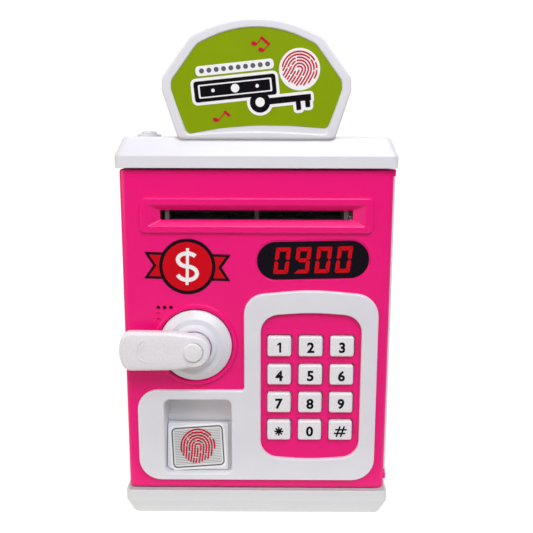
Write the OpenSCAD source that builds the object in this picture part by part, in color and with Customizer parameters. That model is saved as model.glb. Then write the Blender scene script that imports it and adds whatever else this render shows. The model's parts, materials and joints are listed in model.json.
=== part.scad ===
// Toy safe coin bank: a hinged front door with a keypad, a finger pad, a note slot
// and a turn handle, in a ribbed case with a lid, a base and an upright sign.
// The part stands on Z = 0, centred on its base, with the door facing -Y.

/* [Body] */
// Width of the lid, the widest piece
body_w = 130.2; // [126:0.1:160]
// Depth of the lid and the base
body_d = 120; // [112:1:160]
// Height of the lid's top above the ground
body_h = 186.7; // [180:0.1:240]
// Height of the base cap
base_h = 13.4; // [11:0.1:16]
// Height of the lid cap
lid_h = 14.1; // [12:0.1:18]
// Plastic wall of the case, lid and base
wall = 2; // [1.6:0.1:2.4]
// How far the lid's and base's edges slope in
chamfer = 3.7; // [2:0.1:5]
// Height of each rib on the case
rib_h = 5; // [3:0.1:7]
// Rib spacing
rib_pitch = 8; // [7.2:0.1:10]
// How far a rib stands out of the case wall
rib_out = 1.2; // [0.6:0.1:1.6]

/* [Door] */
// Thickness of the door panel
plate_t = 2.2; // [1.8:0.1:2.6]
// Depth of the door from its face to the back of its inner cover
door_t = 27; // [27:0.1:30]
// Gap round the door
door_gap = 0.5; // [0.4:0.1:0.8]
// Radius of the hinge knuckles
knuckle_r = 2.5; // [2.2:0.1:2.6]
// Radius of the hinge pins
pin_r = 1; // [0.8:0.05:1.2]

/* [Keypad] */
// Width of a key's face
key_w = 11.35; // [9:0.1:13]
// Height of a key's face
key_h = 9.9; // [8.6:0.1:12.6]
// Spacing of the key columns
key_dx = 15.05; // [15:0.05:16]
// Spacing of the key rows
key_dz = 14.23; // [14.2:0.01:15]
// How far a key stands out
key_out = 2; // [1.6:0.1:3]
// How far a key presses in
key_travel = 1.1; // [0.5:0.1:1.2]

/* [Handle] */
// Radius of the round handle rose
rose_r = 17.4; // [15:0.1:19]
// Length of the lever from its turning centre
lever_len = 35.4; // [30:0.1:42]
// Height of the lever's blade
lever_h = 19.2; // [14:0.1:20]
// Radius of the spindle
spindle_r = 3; // [2.5:0.1:3.6]

/* [Note slot] */
// Length of the note slot
slot_w = 90; // [76:1:94]
// Height of the note slot
slot_h = 4.6; // [4.4:0.1:5]
// Radius of a feed roller
roller_r = 5; // [4.2:0.1:6]

/* [Coin slot] */
// Length of the coin slot
coin_l = 34; // [28:1:41]
// Width of the coin slot
coin_w = 4.6; // [4.4:0.1:6]

/* [Sign] */
// Widest width of the sign
sign_w = 85; // [70:1:102]
// Height of the sign above its foot
sign_h = 52.4; // [44:0.1:63]
// Thickness of the sign
sign_t = 8; // [6.6:0.1:9.6]

/* [Cells] */
// Radius of a cell
cell_r = 7.25; // [7.25:0.01:7.25]
// Length of a cell
cell_l = 50.5; // [50.5:0.1:50.5]

/* [Hidden] */
$fn = 48;

// Clearances: sliding, running on a shaft, and between bodies that never touch
slide_gap = 0.45;
run_gap = 0.06;
free_gap = 0.4;
through = 0.5;              // how far a cutter passes a face
sliver = 0.01;              // thinnest layer that shapes a slope

// Door
door_y = -body_d/2 + 2.5;   // the door's face
door_w = body_w - 3.2;
door_l = -door_w/2;
door_r = door_w/2;
door_b = base_h + door_gap;
door_top = body_h - lid_h - door_gap;
door_corner_r = 1.5;
rim_t = 7;                  // depth of the door's turned-in rim
rim_w = 2;
hinge_x = body_w/2 - 0.1 - knuckle_r;
hinge_y = door_y + 6;
knuckle_h = 3.2;
knuckle_low = door_b + 4.6;
knuckle_high = door_top - 0.1 - knuckle_h;

// Case
case_front = door_y + rim_t + free_gap;
case_w = door_w - 2.6;
case_back = body_d/2 - 2.8;
case_top = body_h - lid_h;
case_inner = case_w/2 - wall;
case_corner_r = 5;
floor_t = 2;
ear = 8;                    // square ears and bosses for the case screws
ear_t = 2.2;
boss_r = 3;
boss_down = 4;              // bosses under the case floor
seat_t = 3;                 // plastic that a base screw's head pulls on
screw_r = 0.98;
pilot_r = 1;
head_r = 2.2;
head_h = 1.6;
skin_t = 0.8;               // plastic left over a blind screw hole
base_head_z = base_h - boss_down - seat_t;
foot_r = 5;
foot_t = 1.2;
foot_in = [24, 12];         // rubber feet, in from the base's sides
boss_x = case_inner - ear/2 - 0.6;
boss_front = case_front + 9;
boss_back = case_back - wall - ear/2 - 0.6;

// Inner cover of the door
cover_l = door_l + 10.5;
cover_r = hinge_x - 6;
cover_b = door_b + 5.4;
cover_top = door_top - 6;
cover_wall = 1.6;
cover_back = 2;

// Handle, placed from the door's left and bottom edges
knob_x = door_l + 34.2;
knob_z = door_b + 74.2;
ring_w = 2;                 // raised ring round the rose
ring_out = 1.5;
hub_r = 7.8;
lever_t = 5.5;
lever_y = door_y - 12.5;    // front of the lever's blade
cam_t = 2.5;
cam_y = door_y + 15;
keeper_y = cam_y - 1 - 2;   // the keeper's lip, just in front of the cam
keeper_t = 2;
keeper_out = 4.2;
cam_len = knob_x + case_inner - 1.7;
cam_w = 9;
lock_r = 9;                 // lock disc on the spindle
lock_y = door_y + 6;
lock_t = 3;
plunger_r = 1.8;
plunger_travel = 3.2;
lock_depth = plunger_travel + 0.3;

// Keypad, placed from the door's right edge
keys_x = door_r - 37.5;     // middle column
keys_z = door_b + 74;       // top row
key_plate = [key_w + 2*slide_gap, key_h + 2*slide_gap];
key_flange = 0.9;           // lip that keeps a key behind the panel
key_flange_t = 0.9;
key_gap_t = 0.3;
membrane_t = 1;
dome_h = 0.6;
membrane_y = door_y + plate_t + key_gap_t + key_flange_t + key_travel + free_gap + dome_h;
board_t = 1.4;

// Fascia outline, from its own corner at the door's bottom left
fascia_out = 2;
fascia_l = door_l + 5.5;
fascia_r = door_r - 5.4;
fascia_b = door_b + 4.9;
fascia_step = fascia_b + 46.7;
fascia_top = fascia_b + 93.9;
fascia_crown = 3;
fascia_split = door_r - 69.5;
window_l = door_r - 61.5;
window_r = door_r - 13.2;
window_b = door_b + 17.4;
window_top = door_b + 89;
window_crown = 1.8;
peg_r = 1.5;

// Finger-pad recess
bay_l = door_l + 18.4;
bay_r = bay_l + 32.8;
bay_b = door_b + 8.5;
bay_top = bay_b + 38.2;
bay_depth = 9.6;
bay_wall = 1.2;
bay_corner_r = 3;
pad_gap = 1.8;              // gap on the pad's right, where a fingertip slides out
pad_travel = 0.8;
pad_high_t = 6;             // depth of the pad's face at its top edge
pad_low_t = 1;              // and at its bottom edge
pad_top = bay_b + 23;
pad_back_t = 8.6;
stem_r = 3;
label_t = 0.2;

// Note slot and feeder
slot_z = door_top - 21.4;   // middle of the slot
bezel_w = slot_w + 18.4;
bezel_h = slot_h + 11.8;
bezel_out = 1.5;
feeder_y = door_y + 13;
drive_z = slot_z - 0.4 - roller_r;
pinch_z = slot_z + 0.1 + roller_r;
shaft_r = 1.5;
roller_w = 7;
roller_x = [-17, 16];
side_x = slot_w/2 - 3;      // middle of the feeder's side plates
side_t = 2;
guide_t = 1.4;
gear_w = 4;
gear_mod = 0.7;
drive_teeth = 24;
pinion_teeth = 10;
gear_x = side_x + side_t/2 + 0.6;
motor_z = drive_z - gear_mod*(drive_teeth + pinion_teeth)/2;
motor_r = 7.7;
motor_l = 17;
pinion_neck_r = 1.6;

// Labels on the door's face
pill_w = 52.8;
pill_h = 18;
pill_x = door_r - 36.9;
pill_z = door_top - 42.4;
badge_x = door_l + 30.9;
badge_z = door_top - 45.6;
badge_r = 13.3;
badge_w = 40.7;
badge_h = 12.7;

// Cells, behind the keypad
cell_pitch = 2*cell_r + 0.9;
cell_y = door_y + 17.5;
cell_n = 3;
pack_l = cell_l + 3.5;
pack_r = cover_r - 2.2;
pack_x = pack_r - pack_l;
pack_b = door_b + 16.7;
pack_h = cell_n*cell_pitch + 1.2;
pack_floor = 1.1;
pack_y = door_y + 10;

// Speaker, behind its three sound holes
hole_x = door_l + 16.6;
hole_z = door_b + 92.5;
hole_r = 0.9;
hole_pitch = 3;
speaker_r = 9.6;
speaker_x = hole_x + 5;
speaker_z = hole_z + 2.5;

// Cover posts
post_r = 2.2;
post_l = cover_l + cover_wall + 2.5;
post_right = cover_r - cover_wall - 2.5;
post_b = cover_b + cover_wall + 2.7;
post_top = cover_top - cover_wall - 2.7;
post_mid = keys_z + key_h/2 + 16.7;
POSTS = [[post_l, post_b], [post_right, post_b], [post_l, post_top], [post_right, post_top],
  [keys_x - key_dx - 14.3, post_mid], [post_right, post_mid]];

// Lid fittings
coin_y = -20;
button_x = -body_w/2 + 11.3;
button_y = -28;
button_r = 3.75;
collar_r = 6;
collar_h = 1.3;
button_out = 2.7;
button_travel = 1;
sign_y = door_y - 1;        // front of the sign
sign_z = body_h - 1.1;      // its foot, just over the lid's sloped edge
tab_x = 22;
tab_w = 10;
tab_t = 2.4;

// ---- outlines ----
function unit(v) = v/norm(v);

// Points of an arc of radius r that rounds corner p between a and b
function corner(a, p, b, r, n) =
  let (u = unit(a - p), v = unit(b - p), half = acos(u*v)/2,
       c = p + unit(u + v)*r/sin(half),
       s = p + u*r/tan(half) - c,
       e = p + v*r/tan(half) - c,
       turn = cross(s, e) > 0 ? 1 : -1,
       sweep = turn*acos((s*e)/(r*r)))
  [for (i = [0:n]) let (w = sweep*i/n) c + [s[0]*cos(w) - s[1]*sin(w), s[0]*sin(w) + s[1]*cos(w)]];

// Outline with every corner rounded, by one radius or by a list of them
function rounded(pts, r, n = 5) =
  let (m = len(pts))
  [for (i = [0:m - 1])
    let (ri = is_list(r) ? r[i] : r)
    each (ri > 0 ? corner(pts[(i + m - 1)%m], pts[i], pts[(i + 1)%m], ri, n) : [pts[i]])];

function box_pts(x0, y0, x1, y1) = [[x0, y0], [x1, y0], [x1, y1], [x0, y1]];
function centred(w, h) = box_pts(-w/2, -h/2, w/2, h/2);
function toward(pts, c, k) = [for (p = pts) c + (p - c)*k];
function spun(pts, a) = [for (p = pts) [p[0]*cos(a) - p[1]*sin(a), p[0]*sin(a) + p[1]*cos(a)]];
function moved(pts, v) = [for (p = pts) p + v];

// Sign outline, as wide as w and as high as h above its foot
function sign_pts(w, h, foot) = [[-0.42*w, 0], [0.42*w, 0], [w/2 + 0.2, foot], [w/2, foot + 0.11*h],
  [0.345*w, 0.86*h], [0, 1.12*h], [-0.345*w, 0.86*h], [-w/2, foot + 0.11*h], [-w/2 - 0.2, foot]];
sign_radii = [3, 3, 4, 4, 8, 56, 8, 4, 4];

// Involute gear outline with its first tooth centred on the first axis
function involute(rb, r, a0) = let (t = sqrt(pow(r/rb, 2) - 1), w = t*180/PI - atan(t)) a0 - w;
function gear_pts(m, z, backlash = 0.12) =
  let (rp = m*z/2, rb = rp*cos(20), ro = rp + m, rf = rp - 1.2*m, r0 = max(rb, rf + 0.05),
       half = 90/z - backlash/rp*90/PI, a0 = half + (tan(20) - 20*PI/180)*180/PI)
  [for (k = [0:z - 1]) let (c = k*360/z) each [
    for (q = [[rf, a0], for (i = [0:3]) let (r = r0 + (ro - r0)*i/3) [r, involute(rb, r, a0)]])
      [q[0]*cos(c - q[1]), q[0]*sin(c - q[1])],
    for (q = [for (i = [3:-1:0]) let (r = r0 + (ro - r0)*i/3) [r, involute(rb, r, a0)], [rf, a0]])
      [q[0]*cos(c + q[1]), q[0]*sin(c + q[1])]]];

// ---- shared shapes ----
// An outline in X and Z, solid from depth y0 to y1
module upright(pts, y0, y1) {
  translate([0, y1, 0]) rotate([90, 0, 0]) linear_extrude(y1 - y0) polygon(pts);
}
// An outline in Y and Z, solid from x0 to x1
module sideways(pts, x0, x1) {
  translate([x0, 0, 0]) rotate([90, 0, 90]) linear_extrude(x1 - x0) polygon(pts);
}
module flat(pts, z0, z1) {
  translate([0, 0, z0]) linear_extrude(z1 - z0) polygon(pts);
}
module block(x0, y0, z0, x1, y1, z1) {
  translate([x0, y0, z0]) cube([x1 - x0, y1 - y0, z1 - z0]);
}
// Round bars along each axis
module bar_x(x0, x1, y, z, r) {
  translate([x0, y, z]) rotate([0, 90, 0]) cylinder(h = x1 - x0, r = r);
}
module bar_y(x, y0, y1, z, r) {
  translate([x, y1, z]) rotate([90, 0, 0]) cylinder(h = y1 - y0, r = r);
}
module bar_z(x, y, z0, z1, r) {
  translate([x, y, z0]) cylinder(h = z1 - z0, r = r);
}
// A cap with a straight lip and a sloping edge, as the lid and base are
module cap_block(inset, z_lip0, z_lip1, z_edge, slope) {
  lip = rounded(centred(body_w - 2*inset, body_d - 2*inset), 3);
  edge = rounded(centred(body_w - 2*inset - 2*slope, body_d - 2*inset - 2*slope), 3);
  flat(lip, min(z_lip0, z_lip1), max(z_lip0, z_lip1));
  hull() {
    flat(lip, z_lip1 - sliver, z_lip1 + sliver);
    flat(edge, z_edge - sliver, z_edge);
  }
}
module at_bosses() {
  for (x = [-boss_x, boss_x])
    for (y = [boss_front, boss_back])
      translate([x, y, 0]) children();
}

module at_feet() {
  for (x = [-1, 1])
    for (y = [-1, 1])
      translate([x*(body_w/2 - foot_in[0]), y*(body_d/2 - foot_in[1]), 0]) children();
}

// ---- case ----
// Plan of the three case walls, out by a margin
function walls_plan(out) = rounded([[-case_w/2 - out, case_front], [case_w/2 + out, case_front],
  [case_w/2 + out, case_back + out], [-case_w/2 - out, case_back + out]],
  [0, 0, case_corner_r + out, case_corner_r + out]);

module case_shell() {
  rib_z0 = base_h + 6;
  rib_n = floor((case_top - 6 - rib_h - rib_z0)/rib_pitch);
  column_b = knuckle_low + knuckle_h + free_gap;
  column_top = knuckle_high - free_gap;
  bore_h = 7;
  color("whitesmoke") difference() {
    union() {
      difference() {
        union() {
          flat(walls_plan(0), base_h, case_top);
          for (i = [0:rib_n]) flat(walls_plan(rib_out), rib_z0 + i*rib_pitch, rib_z0 + i*rib_pitch + rib_h);
        }
        block(-case_inner, case_front - 1, base_h + floor_t, case_inner, case_back - wall, case_top + 1);
      }
      // Lintel over the door's opening
      block(-case_inner - 0.5, case_front, case_top - 3.4, case_inner + 0.5, case_front + 2, case_top);
      // Hinge column
      bar_z(hinge_x, hinge_y, column_b, column_top, knuckle_r);
      block(hinge_x - 1.8, hinge_y, column_b, hinge_x + 1.4, case_front + 3, column_top);
      // Latch keeper
      block(-case_inner - 0.5, keeper_y, knob_z - 9, -case_inner + keeper_out, keeper_y + keeper_t,
        knob_z + 11);
      // Ears for the lid screws and bosses for the base screws
      for (s = [-1, 1]) {
        for (y = [boss_front, boss_back]) {
          block(s*boss_x - ear/2 - (s < 0 ? 2 : 0), y - ear/2, case_top - ear_t,
            s*boss_x + ear/2 + (s > 0 ? 2 : 0), y + (y > 0 ? ear/2 + 2 : ear/2), case_top);
          bar_z(s*boss_x, y, base_h - boss_down, base_h + floor_t/2, boss_r);
        }
      }
    }
    // Room for the door's knuckles
    for (z = [[base_h - 1, column_b], [column_top, case_top + 1]])
      block(hinge_x - knuckle_r - 1, case_front - 5, z[0], hinge_x + 5, hinge_y + knuckle_r + free_gap, z[1]);
    // Running bores for the hinge pins
    for (z = [knuckle_low + knuckle_h, knuckle_high - bore_h])
      bar_z(hinge_x, hinge_y, z, z + bore_h, pin_r + run_gap);
    at_bosses() {
      bar_z(0, 0, case_top - ear_t - 1, case_top + 1, screw_r + 0.4);
      bar_z(0, 0, base_h - boss_down - 1, base_h + floor_t - skin_t, pilot_r);
    }
  }
}

module lid() {
  z0 = body_h - lid_h;
  lip = 5.4;
  color("white") difference() {
    union() {
      difference() {
        cap_block(0, z0, z0 + lip, body_h, chamfer);
        cap_block(wall, z0 - 1, z0 + lip - 0.8, body_h - wall, chamfer);
      }
      at_bosses() bar_z(0, 0, z0, body_h - wall + 0.5, boss_r);
      bar_z(button_x, button_y, body_h - 0.5, body_h + collar_h, collar_r);
    }
    block(-coin_l/2, coin_y - coin_w/2, body_h - wall - 1, coin_l/2, coin_y + coin_w/2, body_h + 1);
    bar_z(button_x, button_y, body_h - wall - 1, body_h + collar_h + 1, button_r + 0.2);
    for (s = [-1, 1])
      block(s*tab_x - tab_w/2 - 0.1, sign_y + sign_t/2 - tab_t/2 - 0.1, body_h - 7,
        s*tab_x + tab_w/2 + 0.1, sign_y + sign_t/2 + tab_t/2 + 0.1, body_h + 1);
    at_bosses() bar_z(0, 0, z0 - 1, z0 + 8, pilot_r);
  }
}

module base() {
  lip = 5;
  well_r = 4;
  color("white") difference() {
    union() {
      difference() {
        cap_block(0, base_h, base_h - lip, 0, chamfer);
        difference() {
          cap_block(wall, base_h + 1, base_h - lip + 0.8, wall, chamfer);
          // Front ledge that the door stands over
          block(-body_w/2, -body_d/2, base_h - 1.6, body_w/2, case_front + 2, base_h + 2);
        }
      }
      at_bosses() bar_z(0, 0, wall - 0.5, base_h - boss_down, well_r);
    }
    at_bosses() {
      bar_z(0, 0, -1, base_head_z, head_r + 0.3);
      bar_z(0, 0, base_head_z - 1, base_h + 1, screw_r + 0.4);
    }
    at_feet() bar_z(0, 0, -1, foot_t, foot_r);
  }
}

module rubber_feet() {
  color("dimgray") at_feet() bar_z(0, 0, 0, foot_t, foot_r);
}

module case_screws() {
  color("silver") at_bosses() {
    bar_z(0, 0, base_head_z - head_h, base_head_z, head_r);
    bar_z(0, 0, base_head_z - 0.2, base_h + floor_t - skin_t - 0.4, screw_r);
    bar_z(0, 0, case_top - ear_t - head_h, case_top - ear_t, head_r);
    bar_z(0, 0, case_top - ear_t - 0.2, case_top + 7, screw_r);
  }
}

// ---- sign ----
sign_mid = [0, sign_z + 0.48*sign_h];
function sign_outline(k) =
  rounded(toward(moved(sign_pts(sign_w, sign_h, 0.41*sign_h), [0, sign_z]), sign_mid, k), k*sign_radii, 6);

module sign_frame() {
  web = 2.2;
  mid_y = sign_y + sign_t/2;
  color("white") union() {
    difference() {
      upright(sign_outline(1), sign_y, sign_y + sign_t);
      upright(sign_outline(0.9), sign_y - 1, sign_y + 0.8);
      upright(sign_outline(0.93), sign_y + 0.8 + web, sign_y + sign_t + 1);
      // Seat on the lid: the foot laps a little over the sloped edge
      block(-sign_w, -body_d/2 + chamfer - 0.9, body_h - 6, sign_w, sign_y + sign_t + 1, body_h);
    }
    for (x = [-14, 14])
      block(x - 0.6, sign_y + 0.8 + web - 0.3, body_h + 1.5, x + 0.6, sign_y + sign_t, sign_z + sign_h - 10);
    for (s = [-1, 1])
      block(s*tab_x - tab_w/2, mid_y - tab_t/2, body_h - 4, s*tab_x + tab_w/2, mid_y + tab_t/2, body_h + 6);
  }
}

module sign_face() {
  color("yellowgreen") upright(sign_outline(0.88), sign_y + 0.8 - label_t, sign_y + 0.8);
}

module lid_button() {
  lip_t = 1.3;
  under = body_h - wall - 0.6;
  color("white") {
    bar_z(button_x, button_y, under - 0.2, body_h + button_out, button_r);
    bar_z(button_x, button_y, under - lip_t, under, button_r + 1.2);
  }
}

module lid_switch_board() {
  under = body_h - wall - 0.6 - 1.3 - button_travel - 0.3;
  color("seagreen") {
    block(button_x - 6, button_y - 8.4, under - 3.2, button_x + 6, button_y + 8.4, under - 1.8);
    bar_z(button_x, button_y, under - 2, under, 1.8);
    // Two posts up to the lid's top
    for (s = [-1, 1]) bar_z(button_x, button_y + s*7.2, under - 2, body_h - wall, 1);
  }
}

// ---- door ----
module door_panel() {
  outline = rounded(box_pts(door_l, door_b, door_r, door_top), door_corner_r);
  bezel = rounded(box_pts(-bezel_w/2, slot_z - bezel_h/2, bezel_w/2, slot_z + bezel_h/2), 2);
  mouth = box_pts(-slot_w/2, slot_z - slot_h/2, slot_w/2, slot_z + slot_h/2);
  color("deeppink") difference() {
    union() {
      difference() {
        upright(outline, door_y, door_y + rim_t);
        block(door_l + rim_w, door_y + plate_t, door_b + rim_w, cover_r + 1, door_y + rim_t + 1,
          door_top - rim_w);
        block(cover_r + 1 + rim_w, door_y + plate_t, door_b - 1, door_r + 1, door_y + rim_t + 1,
          door_top + 1);
      }
      upright(bezel, door_y - bezel_out, door_y + through);
      bar_y(knob_x, door_y - ring_out, door_y + through, knob_z, rose_r + 0.6 + ring_w);
      bar_y(knob_x, door_y + plate_t - through, door_y + 5.4, knob_z, spindle_r + 3);
      for (p = POSTS) bar_y(p[0], door_y + plate_t - through, door_y + door_t - cover_back, p[1], post_r);
      // Hinge knuckles on short arms
      for (z = [knuckle_low, knuckle_high]) {
        bar_z(hinge_x, hinge_y, z, z + knuckle_h, knuckle_r);
        block(hinge_x - knuckle_r, door_y + 1, z, hinge_x + knuckle_r - 0.6, hinge_y, z + knuckle_h);
      }
    }
    // Funnel and note slot
    hull() {
      upright([for (p = mouth) [p[0]*1.13, slot_z + (p[1] - slot_z)*2.2]], door_y - bezel_out - sliver,
        door_y - bezel_out);
      upright(mouth, door_y + plate_t - 1, door_y + plate_t + 1);
    }
    // Sunk seat of the rose, and the spindle's bearing
    bar_y(knob_x, door_y - ring_out - 1, door_y, knob_z, rose_r + 0.6);
    bar_y(knob_x, door_y - 3, door_y + 6, knob_z, spindle_r + run_gap);
    // Key holes
    for (i = [0:11])
      translate([key_x(i), 0, key_z(i)])
        upright(rounded(centred(key_plate[0], key_plate[1]), 1.2, 4), door_y - 1, door_y + plate_t + 1);
    // Opening for the finger-pad recess
    upright(box_pts(bay_l - bay_wall - 0.2, bay_b - bay_wall - 0.2, bay_r + bay_wall + 0.2,
      bay_top + bay_wall + 0.2), door_y - 1, door_y + plate_t + 1);
    // Sound holes, two of them blind
    for (i = [0:2]) bar_y(hole_x + i*hole_pitch, door_y - 1, door_y + plate_t + 1, hole_z, hole_r);
    for (i = [1:2]) bar_y(hole_x, door_y - 1, door_y + 0.5, hole_z - i*hole_pitch, hole_r);
    // Sunk seat of the display label
    upright(pill(pill_w + 1.2, pill_h + 1.2), door_y - 1, door_y + 0.4);
    for (p = POSTS) bar_y(p[0], door_y + 12, door_y + door_t, p[1], pilot_r);
    for (z = [knuckle_low, knuckle_high]) bar_z(hinge_x, hinge_y, z - 1, z + knuckle_h + 1, pin_r);
    for (p = fascia_pegs) bar_y(p[0], door_y - 1, door_y + plate_t + 1, p[1], peg_r);
  }
}

function key_x(i) = keys_x + (i%3 - 1)*key_dx;
function key_z(i) = keys_z - floor(i/3)*key_dz;
function pill(w, h) =
  moved(spun(rounded(centred(w, h), h/2 - 0.05, 8), 1.3), [pill_x, pill_z]);

module hinge_pins() {
  pin_in = 6;
  color("silver") {
    bar_z(hinge_x, hinge_y, knuckle_low, knuckle_low + knuckle_h + pin_in, pin_r);
    bar_z(hinge_x, hinge_y, knuckle_high - pin_in, knuckle_high + knuckle_h, pin_r);
  }
}

fascia_pegs = [[fascia_l + 6, fascia_step - 6], [fascia_split + 4, fascia_b + 5],
  [fascia_r - 4, fascia_b + 34], [fascia_r - 4, fascia_top - 16], [fascia_split + 4, fascia_top - 16]];

module fascia() {
  mid = (fascia_split + fascia_r)/2;
  window_mid = (window_l + window_r)/2;
  outline = rounded([[fascia_l, fascia_b], [fascia_r, fascia_b], [fascia_r, fascia_top],
    [mid, fascia_top + fascia_crown], [fascia_split, fascia_top], [fascia_split, fascia_step],
    [fascia_l, fascia_step]], [11, 11, 11, 120, 10, 0, 10], 6);
  window = rounded([[window_l, window_b], [window_mid, window_b - window_crown], [window_r, window_b],
    [window_r, window_top], [window_mid, window_top + window_crown], [window_l, window_top]],
    [9, 120, 9, 9, 120, 9], 6);
  bay = rounded(box_pts(bay_l, bay_b, bay_r, bay_top), bay_corner_r);
  color("white") difference() {
    union() {
      upright(outline, door_y - fascia_out, door_y);
      upright(box_pts(bay_l - bay_wall, bay_b - bay_wall, bay_r + bay_wall, bay_top + bay_wall),
        door_y - 0.5, door_y + bay_depth + bay_wall);
      for (p = fascia_pegs) bar_y(p[0], door_y - 0.5, door_y + plate_t + 1, p[1], peg_r);
    }
    upright(window, door_y - fascia_out - 1, door_y + 1);
    upright(bay, door_y - fascia_out - 1, door_y + bay_depth);
    // Way through for the pad's stem
    bar_y((bay_l + bay_r)/2, door_y + bay_depth - 1, door_y + bay_depth + 2, (bay_b + pad_top)/2,
      stem_r + 0.5);
  }
}

module display_label() {
  color("black") upright(pill(pill_w, pill_h), door_y + 0.4 - label_t, door_y + 0.4);
}

module badge_label() {
  tail = 4.2;
  ribbon = [[-badge_w/2, -badge_h/2], [badge_w/2, -badge_h/2], [badge_w/2 - tail, 0], [badge_w/2, badge_h/2],
    [-badge_w/2, badge_h/2], [-badge_w/2 + tail, 0]];
  color("crimson") {
    upright(moved(spun(ribbon, -1.8), [badge_x, badge_z]), door_y - label_t, door_y);
    bar_y(badge_x, door_y - label_t, door_y, badge_z, badge_r);
  }
}

module handle_rose() {
  // Half section from the rim to the collar round the hub
  section = [[8.1, 0], [rose_r, 0], [rose_r, 1.2], [rose_r - 0.6, 1.8], [13.6, 4], [10.9, 4], [9.9, 5.9],
    [8.7, 6.1], [8.1, 5.6]];
  color("white") difference() {
    translate([knob_x, door_y, knob_z]) rotate([90, 0, 0]) rotate_extrude() polygon(section);
    for (s = [-1, 1]) bar_y(knob_x + s*12, door_y - 2, door_y + 1, knob_z, 0.9);
  }
}

// ---- door's inner parts ----
module inner_cover() {
  y1 = door_y + door_t;
  shell = rounded(box_pts(cover_l, cover_b, cover_r, cover_top), 3);
  hollow = rounded(box_pts(cover_l + cover_wall, cover_b + cover_wall, cover_r - cover_wall,
    cover_top - cover_wall), 1.5);
  pack_outer = box_pts(pack_x - 1.4, pack_b - 1.4, cover_r - 0.5, pack_b + pack_h + 1.4);
  color("gainsboro") difference() {
    union() {
      difference() {
        upright(shell, door_y + rim_t + 0.3, y1);
        upright(hollow, door_y + rim_t - 1, y1 - cover_back);
      }
      upright(pack_outer, pack_y - pack_floor, y1 - through);
    }
    // Cell compartment and the seat of its door
    block(pack_x, pack_y, pack_b, pack_r, y1 + 1, pack_b + pack_h);
    // Window for the latch cam
    block(cover_l - 1, cam_y - 1.4, knob_z - 7, cover_l + 4, cam_y + cam_t + 1.4, knob_z + 25);
    // Notes leave here
    block(-slot_w/2 - 1, y1 - cover_back - 1, slot_z - 5, slot_w/2 + 1, y1 + 1, slot_z + 5);
    // Slot of the power switch
    block(switch_x - 6, y1 - cover_back - 1, switch_z - 2, switch_x - 0.8 + switch_travel, y1 + 1,
      switch_z + 2);
    for (p = POSTS) bar_y(p[0], y1 - cover_back - 1, y1 + 1, p[1], screw_r + 0.3);
  }
}
switch_x = pack_x + 16;
switch_z = pack_b + pack_h + 12;
switch_travel = 4;

module battery_door() {
  gap = 0.2;
  color("gainsboro") {
    block(pack_x + gap, door_y + door_t - cover_back, pack_b + gap, pack_r - gap, door_y + door_t,
      pack_b + pack_h - gap);
    // Finger ridges
    for (i = [0:3])
      block(pack_x + 6 + i*3, door_y + door_t - 0.5, pack_b + 14, pack_x + 7.2 + i*3, door_y + door_t + 0.8,
        pack_b + pack_h - 14);
  }
}

module cells() {
  color("royalblue") for (i = [0:cell_n - 1]) {
    z = pack_b + 0.6 + cell_pitch*(i + 0.5);
    bar_x(pack_x + 1.4, pack_x + 1.4 + cell_l - 1.2, cell_y, z, cell_r);
    bar_x(pack_x + 1.4 + cell_l - 1.3, pack_x + 1.4 + cell_l, cell_y, z, 2.7);
  }
}

module battery_contacts() {
  color("silver") for (i = [0:cell_n - 1]) {
    z = pack_b + 0.6 + cell_pitch*(i + 0.5);
    block(pack_x + 0.05, cell_y - 4.5, z - 4.5, pack_x + 0.45, cell_y + 4.5, z + 4.5);
    bar_x(pack_x + 0.4, pack_x + 1.4, cell_y, z, 3);
    block(pack_r - 0.6, cell_y - 4.5, z - 4.5, pack_r - 0.2, cell_y + 4.5, z + 4.5);
    bar_x(pack_x + 1.4 + cell_l, pack_r - 0.5, cell_y, z, 1.5);
  }
}

module cover_screws() {
  y1 = door_y + door_t;
  color("silver") for (p = POSTS) {
    bar_y(p[0], y1, y1 + 1.2, p[1], head_r);
    bar_y(p[0], door_y + 14, y1 + 0.1, p[1], screw_r);
  }
}

module power_switch() {
  y1 = door_y + door_t;
  color("dimgray") {
    block(switch_x - 5.6, y1 - cover_back - 1.8, switch_z - 3, switch_x + 1.6, y1 - cover_back - 0.3,
      switch_z + 3);
    block(switch_x - 5.6, y1 - cover_back - 0.4, switch_z - 1.6, switch_x - 1.2, y1 + 1, switch_z + 1.6);
  }
}

module speaker() {
  y0 = door_y + plate_t;
  color("gray") difference() {
    union() {
      bar_y(speaker_x, y0, y0 + 4.4, speaker_z, speaker_r);
      bar_y(speaker_x, y0 + 4.3, y0 + 7.6, speaker_z, 6);
    }
    bar_y(speaker_x, y0 - 1, y0 + 2.6, speaker_z, speaker_r - 1);
  }
}

module speaker_cone() {
  color("black") translate([speaker_x, door_y + plate_t, speaker_z]) rotate([-90, 0, 0]) rotate_extrude()
    polygon([[0, 2.2], [3, 2.2], [speaker_r - 1.1, 0.5], [speaker_r - 1.1, 0.9], [3.2, 2.6], [0, 2.6]]);
}

module keypad_membrane() {
  margin = 2.6;
  x0 = key_x(0) - key_w/2 - margin;
  x1 = key_x(2) + key_w/2 + margin;
  color("lightgray") {
    block(x0, membrane_y, key_z(11) - key_h/2 - margin, x1, membrane_y + membrane_t,
      key_z(0) + key_h/2 + margin);
    for (i = [0:11]) bar_y(key_x(i), membrane_y - dome_h, membrane_y + 0.2, key_z(i), 3.6);
  }
}

module keypad_board() {
  margin = 3.4;
  color("seagreen") block(key_x(0) - key_w/2 - margin, membrane_y + membrane_t, key_z(11) - key_h/2 - margin,
    key_x(2) + key_w/2 + margin, membrane_y + membrane_t + board_t, key_z(0) + key_h/2 + margin);
}

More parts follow.
